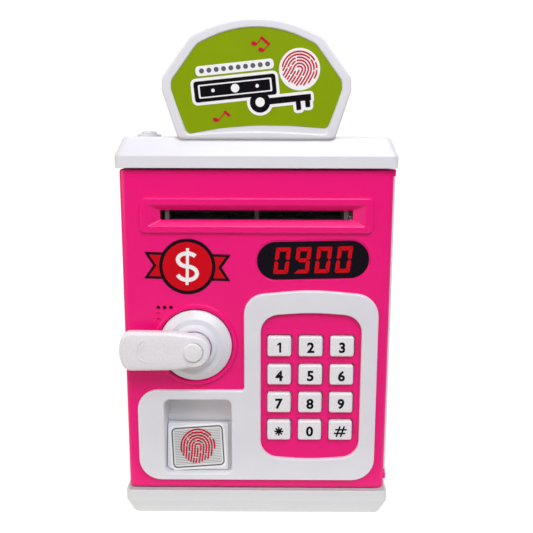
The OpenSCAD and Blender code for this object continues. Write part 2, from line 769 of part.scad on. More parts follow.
module main_board() {
  y0 = door_y + 16;
  x0 = cover_l + cover_wall + 1;
  color("seagreen") {
    block(x0, y0, door_b + 16, pack_x - 3, y0 + board_t, door_b + 56);
    block(x0 + 12, y0 + board_t - 0.1, door_b + 30, x0 + 24, y0 + board_t + 1.6, door_b + 42);
    for (i = [0:2]) bar_y(x0 + 31, y0 + board_t - 0.1, y0 + board_t + 5, door_b + 24 + i*9, 2.5);
  }
}

module finger_switch_board() {
  y0 = door_y + bay_depth + bay_wall + 1.6;
  x = (bay_l + bay_r)/2;
  z = (bay_b + pad_top)/2;
  color("seagreen") {
    block(x - 7, y0, z - 6, x + 7, y0 + 1.2, z + 6);
    bar_y(x, y0 - 1.2, y0 + 0.1, z, 1.7);
    for (s = [-1, 1]) bar_y(x + s*5.4, y0 - 1.6, y0 + 0.1, z, 1.2);
  }
}

// ---- note feeder ----
module feeder_frame() {
  y0 = door_y + plate_t + 0.2;
  y1 = door_y + door_t - cover_back - 1.2;
  z_low = motor_z - motor_r - 1.2;
  z_high = pinch_z + roller_r + 1.6;
  front_depth = feeder_y - roller_r - 1 - y0;
  plates = [[-side_x, drive_z - roller_r - 1.5], [0, drive_z - roller_r - 1.5], [side_x, z_low]];
  color("lightslategray") difference() {
    union() {
      for (p = plates) block(p[0] - side_t/2, y0, p[1], p[0] + side_t/2, y1, z_high);
      // Guides above and below the note, in front of and behind the rollers
      for (y = [[y0, y0 + front_depth], [feeder_y + roller_r + 1, y1]])
        for (z = [slot_z - slot_h/2 - guide_t, slot_z + slot_h/2])
          block(-side_x, y[0], z, side_x, y[1], z + guide_t);
    }
    for (z = [drive_z, pinch_z]) bar_x(-side_x - 3, side_x + 3, feeder_y, z, shaft_r + run_gap);
    // The centre plate and side plates leave the notes' way clear
    block(-side_x + side_t/2, y0 - 1, slot_z - slot_h/2, side_x - side_t/2, y0 + front_depth - 1,
      slot_z + slot_h/2);
    bar_x(side_x - 3, side_x + 3, feeder_y, motor_z, 2);
  }
}

module feed_motor() {
  x1 = side_x - side_t/2;
  color("silver") {
    bar_x(x1 - motor_l, x1, feeder_y, motor_z, motor_r);
    bar_x(x1 - 0.5, x1 + 1.4, feeder_y, motor_z, 1.9);
    bar_x(x1 - motor_l - 1.5, x1 - motor_l + 0.5, feeder_y, motor_z, 3);
  }
}

module motor_pinion() {
  color("ivory") {
    translate([0, feeder_y, motor_z]) sideways(gear_pts(gear_mod, pinion_teeth), gear_x, gear_x + gear_w);
    bar_x(side_x + side_t/2 + 0.5, gear_x + 0.1, feeder_y, motor_z, pinion_neck_r);
  }
}

module drive_shaft() {
  color("silver") bar_x(-side_x - 2, gear_x + gear_w + 1, feeder_y, drive_z, shaft_r);
}

module roller_pair(z) {
  for (x = roller_x) difference() {
    bar_x(x - roller_w/2, x + roller_w/2, feeder_y, z, roller_r);
    bar_x(x - roller_w, x + roller_w, feeder_y, z, shaft_r);
  }
}

module drive_rollers() {
  color("black") roller_pair(drive_z);
}

module drive_gear() {
  color("ivory") difference() {
    translate([0, feeder_y, drive_z]) sideways(gear_pts(gear_mod, drive_teeth), gear_x, gear_x + gear_w);
    bar_x(gear_x - 1, gear_x + gear_w + 1, feeder_y, drive_z, shaft_r);
  }
}

module pinch_shaft() {
  color("silver") bar_x(-side_x - side_t/2 - 0.3, side_x + side_t/2 + 0.3, feeder_y, pinch_z, shaft_r);
}

module pinch_rollers() {
  color("black") roller_pair(pinch_z);
}

// ---- handle and lock ----
module lock_solenoid() {
  top = knob_z - lock_r - 0.6;
  color("dimgray") difference() {
    block(knob_x - 5.5, door_y + 3.2, top - 13, knob_x + 5.5, door_y + 12, top - 0.4);
    bar_z(knob_x, lock_y + lock_t/2, top - 12, top + 1, plunger_r + run_gap);
  }
}

module lock_plunger() {
  top = knob_z - lock_r - 0.5;
  color("silver") bar_z(knob_x, lock_y + lock_t/2, top - 11.5, top, plunger_r);
}

module lever() {
  tip = knob_x - lever_len;
  blade = rounded([[knob_x + 1, knob_z - hub_r], [knob_x - 11, knob_z - lever_h/2 + 0.3],
    [tip + 2.5, knob_z - lever_h/2], [tip, knob_z], [tip + 2.5, knob_z + lever_h/2],
    [knob_x - 11, knob_z + lever_h/2 - 0.3], [knob_x + 1, knob_z + hub_r]], [0, 30, 5, 16, 5, 30, 0]);
  color("white") difference() {
    union() {
      upright(blade, lever_y, lever_y + lever_t);
      bar_y(knob_x, lever_y, door_y - 0.5, knob_z, hub_r);
    }
    // Seat of the cap, and the spindle's socket
    bar_y(knob_x, lever_y - 1, lever_y + 1, knob_z, 4.5);
    bar_y(knob_x, lever_y + 3, door_y + 1, knob_z, spindle_r);
  }
}

module lever_cap() {
  color("white") bar_y(knob_x, lever_y - 1.2, lever_y + 1, knob_z, 4.5);
}

module spindle() {
  color("silver") difference() {
    bar_y(knob_x, lever_y + 3, cam_y + cam_t, knob_z, spindle_r);
    bar_y(knob_x, cam_y - 8, cam_y + cam_t + 1, knob_z, screw_r);
  }
}

module lock_disc() {
  notch = plunger_r + 0.6;
  color("ivory") difference() {
    bar_y(knob_x, lock_y, lock_y + lock_t, knob_z, lock_r);
    bar_y(knob_x, lock_y - 1, lock_y + lock_t + 1, knob_z, spindle_r);
    // One notch for each locked position of the handle
    block(knob_x - notch, lock_y - 1, knob_z - lock_r - 1, knob_x + notch, lock_y + lock_t + 1,
      knob_z - lock_r + lock_depth);
    block(knob_x - lock_r - 1, lock_y - 1, knob_z - notch, knob_x - lock_r + lock_depth, lock_y + lock_t + 1,
      knob_z + notch);
  }
}

module latch_cam() {
  arm = rounded([[knob_x - cam_w/2, knob_z - 3], [knob_x + cam_w/2, knob_z - 3],
    [knob_x + cam_w/2 - 1, knob_z + cam_len - 0.4], [knob_x - cam_w/2 + 1, knob_z + cam_len - 0.4]],
    [0, 0, 3, 3]);
  color("ivory") difference() {
    union() {
      upright(arm, cam_y, cam_y + cam_t);
      bar_y(knob_x, cam_y, cam_y + cam_t, knob_z, 6);
    }
    bar_y(knob_x, cam_y - 1, cam_y + cam_t + 1, knob_z, spindle_r);
  }
}

module cam_screw() {
  color("silver") {
    bar_y(knob_x, cam_y + cam_t, cam_y + cam_t + 1.6, knob_z, 3.6);
    bar_y(knob_x, cam_y - 7, cam_y + cam_t + 0.1, knob_z, screw_r);
  }
}

// ---- finger pad ----
pad_l = bay_l + slide_gap;
pad_r = bay_r - pad_gap;
pad_b = bay_b + slide_gap;
// Depth of the pad's face at height z
function pad_t(z) = pad_low_t + (pad_high_t - pad_low_t)*(z - pad_b)/(pad_top - pad_b);

module finger_pad() {
  outline = rounded(box_pts(pad_l, pad_b, pad_r, pad_top), [bay_corner_r - slide_gap, 1, 1, 1]);
  color("white") {
    intersection() {
      sideways([[door_y + pad_low_t, pad_b], [door_y + pad_back_t, pad_b], [door_y + pad_back_t, pad_top],
        [door_y + pad_high_t, pad_top]], pad_l, pad_r);
      upright(outline, door_y, door_y + bay_depth);
    }
    bar_y((bay_l + bay_r)/2, door_y + pad_back_t - 0.1, door_y + bay_depth + bay_wall - pad_travel + 0.1,
      (bay_b + pad_top)/2, stem_r);
  }
}

module finger_label() {
  z0 = pad_b + 0.4;
  z1 = pad_top - 0.4;
  color("whitesmoke")
    sideways([[door_y + pad_t(z0) - label_t, z0], [door_y + pad_t(z0), z0], [door_y + pad_t(z1), z1],
      [door_y + pad_t(z1) - label_t, z1]], pad_l + 1.4, pad_r - 1.4);
}

// ---- keys ----
module key(i) {
  y0 = door_y + plate_t + key_gap_t;
  color("white") translate([key_x(i), 0, key_z(i)]) {
    upright(rounded(centred(key_w, key_h), 1, 4), door_y - key_out, y0 + 0.2);
    upright(centred(key_w + 2*key_flange, key_h + 2*key_flange), y0, y0 + key_flange_t);
  }
}

case_shell();
lid();
base();
rubber_feet();
case_screws();
sign_frame();
sign_face();
lid_button();
lid_switch_board();
door_panel();
hinge_pins();
fascia();
display_label();
badge_label();
handle_rose();
inner_cover();
battery_door();
cells();
battery_contacts();
cover_screws();
power_switch();
speaker();
speaker_cone();
keypad_membrane();
keypad_board();
main_board();
finger_switch_board();
feeder_frame();
feed_motor();
motor_pinion();
drive_shaft();
drive_rollers();
drive_gear();
pinch_shaft();
pinch_rollers();
lock_solenoid();
lock_plunger();
lever();
lever_cap();
spindle();
lock_disc();
latch_cam();
cam_screw();
finger_pad();
finger_label();
for (i = [0:11]) {
  name = i < 9 ? str("key_", i + 1) : ["key_star", "key_0", "key_hash"][i - 9];
  key(i);
}
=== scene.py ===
import itertools
import json
import math
import random

import bmesh
import bpy
from mathutils import Matrix, Vector

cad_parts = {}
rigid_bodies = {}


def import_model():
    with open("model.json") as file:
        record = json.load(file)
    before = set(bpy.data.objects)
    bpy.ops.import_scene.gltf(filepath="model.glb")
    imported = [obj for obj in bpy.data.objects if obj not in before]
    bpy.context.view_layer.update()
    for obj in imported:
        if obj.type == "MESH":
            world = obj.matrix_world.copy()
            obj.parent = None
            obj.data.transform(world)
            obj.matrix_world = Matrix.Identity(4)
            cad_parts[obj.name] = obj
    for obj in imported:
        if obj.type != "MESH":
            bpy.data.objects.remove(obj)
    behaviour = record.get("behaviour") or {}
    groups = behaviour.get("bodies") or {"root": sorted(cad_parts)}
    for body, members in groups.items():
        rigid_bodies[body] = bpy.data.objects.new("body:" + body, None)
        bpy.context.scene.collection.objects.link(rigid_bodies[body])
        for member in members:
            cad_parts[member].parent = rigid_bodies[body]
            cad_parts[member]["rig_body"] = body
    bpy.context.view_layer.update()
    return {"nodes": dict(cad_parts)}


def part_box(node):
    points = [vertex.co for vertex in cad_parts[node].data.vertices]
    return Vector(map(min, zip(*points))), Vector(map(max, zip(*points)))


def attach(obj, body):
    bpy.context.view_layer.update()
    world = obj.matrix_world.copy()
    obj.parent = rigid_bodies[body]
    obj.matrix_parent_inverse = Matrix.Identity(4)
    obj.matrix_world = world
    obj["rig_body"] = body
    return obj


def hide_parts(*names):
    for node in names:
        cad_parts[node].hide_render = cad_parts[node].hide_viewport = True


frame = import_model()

MM = 0.001


# ---------- sizes, in millimetres, from the frame ----------
def span(node):
    low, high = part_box(node)
    return low / MM, high / MM


def middle(node):
    low, high = span(node)
    return (low + high) / 2


lid_low, lid_high = span("lid")
base_top = span("base")[1].z
cover_low, cover_high = span("inner_cover")
half_w, half_d = lid_high.x, lid_high.y
collar_h = 1.3
lid_base = lid_low.z
lid_top = lid_high.z - collar_h
wall = 2.0
chamfer = 3.7
lid_lip = 5.4
base_lip = 5.5
base_slope = 3.3
plan_r = 3.0

door_y = span("handle_rose")[1].y
door_low, door_high = span("door_panel")
door_l, door_r = door_low.x, -door_low.x
door_b, door_top = door_low.z, door_high.z
plate_t = 2.2
rim_t = 7.0
door_rim_w = 2.0
side_ease = 3.4
hinge = middle("hinge_pins")
knuckle_r = 2.5
knuckle_h = 3.2
knuckle_low = span("hinge_pins")[0].z
knuckle_high = span("hinge_pins")[1].z - knuckle_h
door_corner_r = 1.5

case_front = door_y + rim_t + 0.4
case_w = 2 * door_r - 2.6
case_back = half_d - 2.8
case_inner = case_w / 2 - wall
case_corner_r = 5.0
rib_h, rib_pitch, rib_out = 5.0, 8.0, 1.2
rib_foot = base_top + 6.0

rose = middle("handle_rose")
knob_x, knob_z = rose.x, rose.z
rose_r = span("handle_rose")[1].x - knob_x
ring_out = 1.5
hub_r = 7.8
cap_r = 4.5
lever_low, lever_high = span("lever")
lever_y = lever_low.y
lever_t = 5.5
cap_y = span("lever_cap")[0].y

fascia_low, fascia_high = span("fascia")
fascia_out = 2.0
bay_depth = 9.6
bay_wall = 1.2
slot_w, slot_h = 90.0, 4.6
slot_z = door_top - 21.4
bezel_out = 1.5

key_w, key_h, key_out = 11.35, 9.9, 2.0
KEYS = [(f"key_{n}", str(n)) for n in range(1, 10)]
KEYS += [("key_star", "*"), ("key_0", "0"), ("key_hash", "#")]

pill = middle("display_label")
pill_w, pill_h, pill_turn = 52.8, 18.0, 1.3
pill_y = span("display_label")[0].y
badge = middle("badge_label")
badge_y = span("badge_label")[0].y
badge_r, badge_w, badge_h, badge_turn = 13.3, 40.7, 12.7, -1.8

sign_low, sign_high = span("sign_frame")
sign_y = sign_low.y
sign_t = sign_high.y - sign_low.y
sign_w, sign_h = 85.0, 52.4
sign_z = lid_top - 1.1
sign_step = 0.8
coin_l, coin_w, coin_y = 34.0, 4.6, -20.0
button = middle("lid_button")
button_r = 3.75
PRINT = 0.05


# ---------- materials ----------
def linear(code):
    """An sRGB hex colour as linear red, green, blue and alpha."""
    parts = [int(code[i:i + 2], 16) / 255 for i in (1, 3, 5)]
    return [c / 12.92 if c <= 0.04045 else ((c + 0.055) / 1.055) ** 2.4 for c in parts] + [1.0]


def node(tree, kind, settings=None, links=None):
    """Adds one node, with its settings and the sockets that feed it."""
    made = tree.nodes.new(kind)
    for key, value in (settings or {}).items():
        if isinstance(key, str) and hasattr(made, key):
            setattr(made, key, value)
        else:
            made.inputs[key].default_value = value
    for key, socket in (links or {}).items():
        tree.links.new(socket, made.inputs[key])
    return made


def per_mm(size):
    """Noise scale in object units for a pattern of this size in millimetres."""
    return 1 / (size * MM)


def finish(name, low, high, rough, settings, patch_mm=14, grain_mm=0.9, grain=0.05, grain_depth=0.03,
           stretch=(1, 1, 1)):
    """A surface whose colour and gloss wander in soft patches, with a fine grain in its skin."""
    material = bpy.data.materials.new(name)
    material.use_nodes = True
    tree = material.node_tree
    tree.nodes.clear()
    place = node(tree, "ShaderNodeTexCoord")
    scaled = node(tree, "ShaderNodeMapping", {"Scale": stretch}, {"Vector": place.outputs["Object"]})
    patches = node(tree, "ShaderNodeTexNoise", {"Scale": per_mm(patch_mm), "Detail": 2.0},
                   {"Vector": scaled.outputs[0]})
    skin = node(tree, "ShaderNodeTexNoise", {"Scale": per_mm(grain_mm), "Detail": 3.0},
                {"Vector": scaled.outputs[0]})
    colour = node(tree, "ShaderNodeMix", {"data_type": "RGBA"}, {"Factor": patches.outputs[0]})
    colour.inputs[6].default_value = linear(low)
    colour.inputs[7].default_value = linear(high)
    gloss = node(tree, "ShaderNodeMapRange", {"From Min": 0.3, "From Max": 0.7, "To Min": rough - grain,
                                              "To Max": rough + grain}, {"Value": skin.outputs[0]})
    bump = node(tree, "ShaderNodeBump", {"Strength": 0.25, "Distance": grain_depth * MM},
                {"Height": skin.outputs[0]})
    shader = node(tree, "ShaderNodeBsdfPrincipled", settings, {
        "Base Color": colour.outputs[2], "Roughness": gloss.outputs[0], "Normal": bump.outputs[0]})
    node(tree, "ShaderNodeOutputMaterial", None, {"Surface": shader.outputs[0]})
    return material


# ABS, injection moulded in a spark-eroded mould: a soft, wide sheen over a faint orange-peel skin.
# The real grain is 0.1 to 0.2 mm, drawn at 0.8 mm so that it shows at all.
white_abs = finish("white_abs_moulded", "#DBDCE0", "#E3E4E8", 0.34, {"IOR": 1.53}, grain_mm=0.8)
# The base: the same plastic, painted a darker grey than the rest of the case as painted shade for its
# down-facing edge, with a duller sheen.
shaded_base_abs = finish("white_abs_painted_shade", "#CCCFD0", "#D4D7D6", 0.42, {"IOR": 1.53}, grain_mm=0.8)
# The same white plastic in the keys and the lever, polished by the mould a little more.
key_abs = finish("white_abs_key", "#E3E3E5", "#EBEBEC", 0.28, {"IOR": 1.53}, grain_mm=0.8, grain_depth=0.02)
# Pink ABS from a polished mould: clear, even gloss with slight flow marks a few centimetres wide.
pink_abs = finish("pink_abs_polished", "#ED0275", "#F1047B", 0.3, {"IOR": 1.53, "Specular IOR Level": 0.4},
                  patch_mm=30, grain_mm=3.0, grain=0.02, grain_depth=0.002)
# Grey ABS of the parts inside the door: a duller moulded skin.
grey_abs = finish("grey_abs_moulded", "#9EA2A8", "#A8ACB2", 0.45, {"IOR": 1.53}, grain_mm=0.9)
# Black-brown ABS: small inner housings with a low sheen.
dark_abs = finish("dark_abs_moulded", "#1C1C1F", "#26262A", 0.42, {"IOR": 1.53})
# Smoke-brown ABS of the note feeder: dark enough to read as a shadow behind the slot.
smoke_abs = finish("smoke_abs_moulded", "#564A4C", "#605355", 0.5, {"IOR": 1.53})
# Nylon, moulded uncoloured: milky, slightly waxy, so light enters the thin edges.
natural_nylon = finish("natural_nylon", "#E2DCC8", "#EBE6D6", 0.4, {
    "IOR": 1.53, "Subsurface Weight": 0.15, "Subsurface Scale": 0.0015}, grain_mm=1.0)
# Zinc-plated steel, drawn and barrel plated: fine streaks along its length and a cool haze.
steel = finish("zinc_plated_steel", "#B4B6BA", "#C6C8CB", 0.3, {"Metallic": 1.0}, patch_mm=5, grain_mm=0.7,
               grain=0.08, stretch=(1, 1, 0.25))
# Moulded rubber: nearly no sheen, with a dusty bloom in patches.
rubber = finish("moulded_rubber", "#1B1B1C", "#2B2B2C", 0.75, {"IOR": 1.5}, patch_mm=4, grain_mm=0.6)
grey_rubber = finish("grey_rubber", "#55585C", "#63666B", 0.75, {"IOR": 1.5}, patch_mm=4, grain_mm=0.6)
# Silicone keypad mat: translucent and soft to the eye.
silicone = finish("silicone_mat", "#B8BABD", "#C4C6C9", 0.5, {"IOR": 1.43, "Subsurface Weight": 0.2,
                  "Subsurface Scale": 0.002}, patch_mm=9)
# Solder mask on a glass-fibre board: the weave, 0.6 mm, shows faintly through a glossy green skin.
board = finish("solder_mask_board", "#0E5B33", "#14703F", 0.3, {"IOR": 1.5}, patch_mm=6, grain_mm=0.6)
# Printed film with a gloss laminate: flat ink under a clear coat, and a very slight ripple.
film = {"IOR": 1.5, "Specular IOR Level": 0.12}


def ink(colour, low, high, rough=0.4):
    return finish("printed_film_" + colour, low, high, rough, film, patch_mm=20, grain_mm=2.5)


ink_green = ink("green", "#809A00", "#88A302")
ink_black = ink("black", "#0C0711", "#120C17", 0.3)
ink_red = ink("red", "#C80216", "#D0061B")
ink_crimson = ink("crimson", "#BB1730", "#C41C36")
ink_white = ink("white", "#ECECEA", "#F4F4F2")
ink_grey = ink("grey", "#5A5E66", "#62666E")
ink_pale = ink("pale_grey", "#D6D8D4", "#DEE0DC")
# Cell sleeve: shrunk printed film.
cell_sleeve = finish("cell_sleeve_film", "#17305E", "#1E3B70", 0.25, film, patch_mm=12)


# ---------- outlines ----------
def rounded(points, radii, steps=5, closed=True):
    """An outline with its corners rounded, by one radius or a list of them."""
    count = len(points)
    radii = radii if isinstance(radii, (list, tuple)) else [radii] * count
    made = []
    for i, (corner, r) in enumerate(zip(points, radii)):
        p = Vector(corner)
        end = not closed and i in (0, count - 1)
        if r <= 0 or end:
            made.append(tuple(p))
            continue
        u = (Vector(points[i - 1]) - p).normalized()
        v = (Vector(points[(i + 1) % count]) - p).normalized()
        half = math.acos(max(-1.0, min(1.0, u.dot(v)))) / 2
        if half > math.pi / 2 - 0.003:
            made.append(tuple(p))
            continue
        centre = p + (u + v).normalized() * r / math.sin(half)
        start = p + u * r / math.tan(half) - centre
        stop = p + v * r / math.tan(half) - centre
        cross = start.x * stop.y - start.y * stop.x
        sweep = math.copysign(math.pi - 2 * half, cross)
        for k in range(steps + 1):
            a = sweep * k / steps
            made.append((centre.x + start.x * math.cos(a) - start.y * math.sin(a),
                         centre.y + start.x * math.sin(a) + start.y * math.cos(a)))
    return made


def oblong(x0, z0, x1, z1, r=0.0, steps=5):
    return rounded([(x0, z0), (x1, z0), (x1, z1), (x0, z1)], r, steps)


def circle(x, z, r, count=48):
    return [(x + r * math.cos(2 * math.pi * k / count), z + r * math.sin(2 * math.pi * k / count))
            for k in range(count)]


def grown(outline, out):
    """The outline moved outward by a distance, or inward where it is negative."""
    count = len(outline)
    area = sum(outline[i - 1][0] * outline[i][1] - outline[i][0] * outline[i - 1][1] for i in range(count))
    side = 1 if area > 0 else -1
    made = []
    for i in range(count):
        p = Vector(outline[i])
        a = (p - Vector(outline[i - 1])).normalized()
        b = (Vector(outline[(i + 1) % count]) - p).normalized()
        n = Vector((a.y + b.y, -a.x - b.x)) * side
        length = n.length
        made.append(tuple(p + n * (2 * out / max(length * length, 1.0))) if length > 0 else tuple(p))
    return made


def turned_by(outline, degrees, about):
    c, s = math.cos(math.radians(degrees)), math.sin(math.radians(degrees))
    return [(about[0] + (x - about[0]) * c - (z - about[1]) * s,
             about[1] + (x - about[0]) * s + (z - about[1]) * c) for x, z in outline]


def toward(outline, centre, k):
    return [(centre[0] + (x - centre[0]) * k, centre[1] + (z - centre[1]) * k) for x, z in outline]


def moved(outline, dx, dz):
    return [(x + dx, z + dz) for x, z in outline]


def upright(outline, y):
    return [(x, y, z) for x, z in outline]


def level(outline, z):
    return [(x, y, z) for x, y in outline]


def sideways(outline, x):
    return [(x, y, z) for y, z in outline]


def eased(outline, face, r, side=-1, place=upright, into=1, steps=3):
    """Rings of a rounded edge, from the wall to the face. Side is -1 on an outer edge and 1 round a hole."""
    rings = []
    for k in range(steps + 1):
        a = math.pi / 2 * k / steps
        rings.append(place(grown(outline, side * r * (1 - math.cos(a))), face + into * r * (1 - math.sin(a))))
    return rings


# ---------- building ----------
def fill(bm, loops):
    edges = []
    for loop in loops:
        for i in range(len(loop)):
            pair = (loop[i - 1], loop[i])
            edges.append(bm.edges.get(pair) or bm.edges.new(pair))
    bmesh.ops.triangle_fill(bm, edges=edges, use_beauty=True)


def moulding(skins, bm=None):
    """Closed shapes from skins of rings. An end named "cap" is closed by itself, and ends that share
    another name bound one flat face together."""
    bm = bm or bmesh.new()
    faces = {}
    for rings, start, stop in skins:
        loops = [[bm.verts.new(p) for p in ring] for ring in rings]
        for a, b in zip(loops, loops[1:]):
            for i in range(len(a)):
                bm.faces.new((a[i - 1], a[i], b[i], b[i - 1]))
        for loop, end in ((loops[0], start), (loops[-1], stop)):
            if end == "cap":
                fill(bm, [loop])
            elif end:
                faces.setdefault(end, []).append(loop)
    for loops in faces.values():
        fill(bm, loops)
    return bm


def pad(outline, back, front, r, place=upright, into=1, back_r=0.0):
    """A closed solid on an outline, with its front edge rounded, and its back edge too if asked."""
    rings = eased(outline, front, r, -1, place, into)
    rear = [place(outline, back)]
    if back_r:
        rear = eased(outline, back, back_r, -1, place, -into)[::-1]
    return (rear + rings, "cap", "cap")


def brick(x0, y0, z0, x1, y1, z1, r=0.3):
    """A block with every edge softened."""
    corner = min(r, (x1 - x0) / 3, (z1 - z0) / 3)
    lip = min(r, (y1 - y0) / 3, (x1 - x0) / 3, (z1 - z0) / 3)
    return pad(oblong(x0, z0, x1, z1, corner, 2), y1, y0, lip, back_r=lip)


def lathe(profile, centre, axis="y", count=48):
    """A turned shape from (radius, place on the axis) pairs."""
    rings = []
    for r, h in profile:
        ring = circle(centre[0], centre[1], max(r, 0.01), count)
        if axis == "y":
            rings.append(upright(ring, h))
        elif axis == "z":
            rings.append(level(ring, h))
        else:
            rings.append(sideways(ring, h))
    return (rings, "cap", "cap")


def rod(r, start, stop, centre, axis="y", ease=0.3, count=32):
    ease = min(ease, abs(stop - start) / 3, r / 2)
    profile = rounded([(0.01, start), (r, start), (r, stop), (0.01, stop)], [0, ease, ease, 0], 3, False)
    return lathe(profile, centre, axis, count)


# Prints that lie over each other in one layer step up by a hair, so that no two faces coincide
HAIR = itertools.cycle([0.003 * k for k in range(12)])


def strip(points, width, y, thick=PRINT, cut=False):
    """A printed stroke of even width along a path, with round ends or cut square."""
    count = len(points)
    sides = ([], [])
    for i, p in enumerate(points):
        p = Vector(p)
        a = Vector(points[max(i - 1, 0)])
        b = Vector(points[min(i + 1, count - 1)])
        d = (b - a).normalized()
        n = Vector((-d.y, d.x)) * width / 2
        sides[0].append(tuple(p + n))
        sides[1].append(tuple(p - n))
    tip = Vector(points[-1])
    tail = Vector(points[0])
    end = (tip - Vector(points[-2])).normalized() * width / 2
    start = (tail - Vector(points[1])).normalized() * width / 2
    caps = []
    for at, out in ((tip, end), (tail, start)):
        side = Vector((-out.y, out.x))
        turns = [math.radians(a) for a in (() if cut else (40, 75, 105, 140))]
        caps.append([tuple(at + out * math.sin(a) + side * math.cos(a)) for a in turns])
    made = sides[0] + caps[0] + sides[1][::-1] + caps[1]
    return decal(made, y, thick)


def decal(outline, y, thick=PRINT):
    """A thin printed layer on an outline."""
    return ([upright(outline, y + thick), upright(outline, y - next(HAIR))], "cap", "cap")


def piece(name, bm, material, body, replaces=(), sharp=38, weighted=True):
    """Turns a built shape, in millimetres, into a finished piece that rides on a body."""
    bmesh.ops.remove_doubles(bm, verts=bm.verts, dist=0.002)
    bmesh.ops.dissolve_degenerate(bm, edges=bm.edges, dist=0.0005)
    bmesh.ops.recalc_face_normals(bm, faces=bm.faces)
    bmesh.ops.scale(bm, vec=(MM, MM, MM), verts=bm.verts)
    mesh = bpy.data.meshes.new(name)
    bm.to_mesh(mesh)
    bm.free()
    mesh.shade_smooth()
    mesh.set_sharp_from_angle(angle=math.radians(sharp))
    obj = bpy.data.objects.new(name, mesh)
    bpy.context.scene.collection.objects.link(obj)
    if weighted:
        normals = obj.modifiers.new("even_normals", "WEIGHTED_NORMAL")
        normals.keep_sharp = True
        graph = bpy.context.evaluated_depsgraph_get()
        obj.data = bpy.data.meshes.new_from_object(obj.evaluated_get(graph))
        obj.modifiers.clear()
    obj.data.materials.clear()
    obj.data.materials.append(material)
    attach(obj, body)
    if replaces:
        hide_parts(*replaces)
    return obj


def printed(name, bm, ink_used, body):
    """A layer of print: flat, so its normals stay as they are."""
    return piece(name, bm, ink_used, body, weighted=False)


def softened(node_name, material, width=0.25):
    """A copy of a plain frame node with its edges broken, which stands for the node."""
    bm = bmesh.new()
    bm.from_mesh(frame["nodes"][node_name].data)
    bmesh.ops.scale(bm, vec=(1 / MM, 1 / MM, 1 / MM), verts=bm.verts)
    bmesh.ops.remove_doubles(bm, verts=bm.verts, dist=0.001)
    bmesh.ops.dissolve_limit(bm, angle_limit=math.radians(1), verts=bm.verts, edges=bm.edges)
    hard = [e for e in bm.edges if len(e.link_faces) == 2 and e.calc_face_angle(0) > math.radians(30)]
    bmesh.ops.bevel(bm, geom=hard, offset=width, segments=2, profile=0.5, affect="EDGES",
                    clamp_overlap=True)
    body = frame["nodes"][node_name]["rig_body"]
    return piece(node_name + "_finished", bm, material, body, [node_name])


# ---------- case ----------
def walls(out):
    """The case walls' plan as one closed line, outside face out by a margin."""
    w, y1 = case_w / 2 + out, case_back + out
    outer = rounded([(-w, case_front), (-w, y1), (w, y1), (w, case_front)],
                    [0, case_corner_r + out, case_corner_r + out, 0], 6)
    i, yi = case_inner, case_back - wall
    inner = rounded([(i, case_front), (i, yi), (-i, yi), (-i, case_front)], [0, 2.0, 2.0, 0], 4)
    return outer + inner


def case_rings():
    """Height and how far the wall stands out, all the way up past each rib."""
    edge = 0.5
    steps = [(base_top, 0.0)]
    count = int((lid_base - 6 - rib_h - rib_foot) / rib_pitch)
    for i in range(count + 1):
        z0 = rib_foot + i * rib_pitch
        z1 = z0 + rib_h
        steps += [(z0 - 0.25, 0.0), (z0 - 0.05, 0.08), (z0, 0.3), (z0 + 0.05, rib_out - edge)]
        steps += [(z0 + 0.2, rib_out - 0.12), (z0 + edge, rib_out)]
        steps += [(z1 - edge, rib_out), (z1 - 0.2, rib_out - 0.12), (z1 - 0.05, rib_out - edge)]
        steps += [(z1, 0.3), (z1 + 0.05, 0.08), (z1 + 0.25, 0.0)]
    steps.append((lid_base, 0.0))
    return [level(walls(out), z) for z, out in steps]


ear, ear_t, boss_r, boss_down, floor_t = 8.0, 2.2, 3.0, 4.0, 2.0
boss_x = case_inner - ear / 2 - 0.6
boss_front = case_front + 9
boss_back = case_back - wall - ear / 2 - 0.6
keeper_y = door_y + 12
column_low = knuckle_low + knuckle_h + 0.4
column_high = knuckle_high - 0.4
case = moulding([(case_rings(), "cap", "cap")])
moulding([
    brick(-case_inner - 1, case_front + 0.4, base_top,
          case_inner + 1, case_back - 1, base_top + floor_t, 0.2),
    brick(-case_inner - 0.5, case_front, lid_base - 3.4, case_inner + 0.5, case_front + 2, lid_base, 0.4),
    rod(knuckle_r, column_low, column_high, (hinge.x, hinge.y), "z", 0.4),
    brick(hinge.x - 1.8, hinge.y, column_low, hinge.x + 1.4, case_front + 3, column_high, 0.3),
    brick(-case_inner - 0.5, keeper_y, knob_z - 9, -case_inner + 4.2, keeper_y + 2, knob_z + 11, 0.4),
], case)
for s in (-1, 1):
    for y in (boss_front, boss_back):
        x = s * boss_x
        moulding([brick(x - ear / 2 - (2 if s < 0 else 0), y - ear / 2, lid_base - ear_t,
                        x + ear / 2 + (2 if s > 0 else 0), y + ear / 2 + (2 if y > 0 else 0), lid_base, 0.3),
                  rod(boss_r, base_top - boss_down, base_top + 1, (x, y), "z")], case)
piece("ribbed_case", case, white_abs, "case", ["case_shell"])

# Lid: a straight lip, a sloping edge and a flat top, with slots cut through it
def cap_ring(inset, z, most=99.0):
    """The lid's plan at a height, in from its edge. The front and back go in no further than "most"."""
    x, y = half_w - inset, half_d - min(inset, most)
    return level(oblong(-x, -y, x, y, plan_r, 6), z)


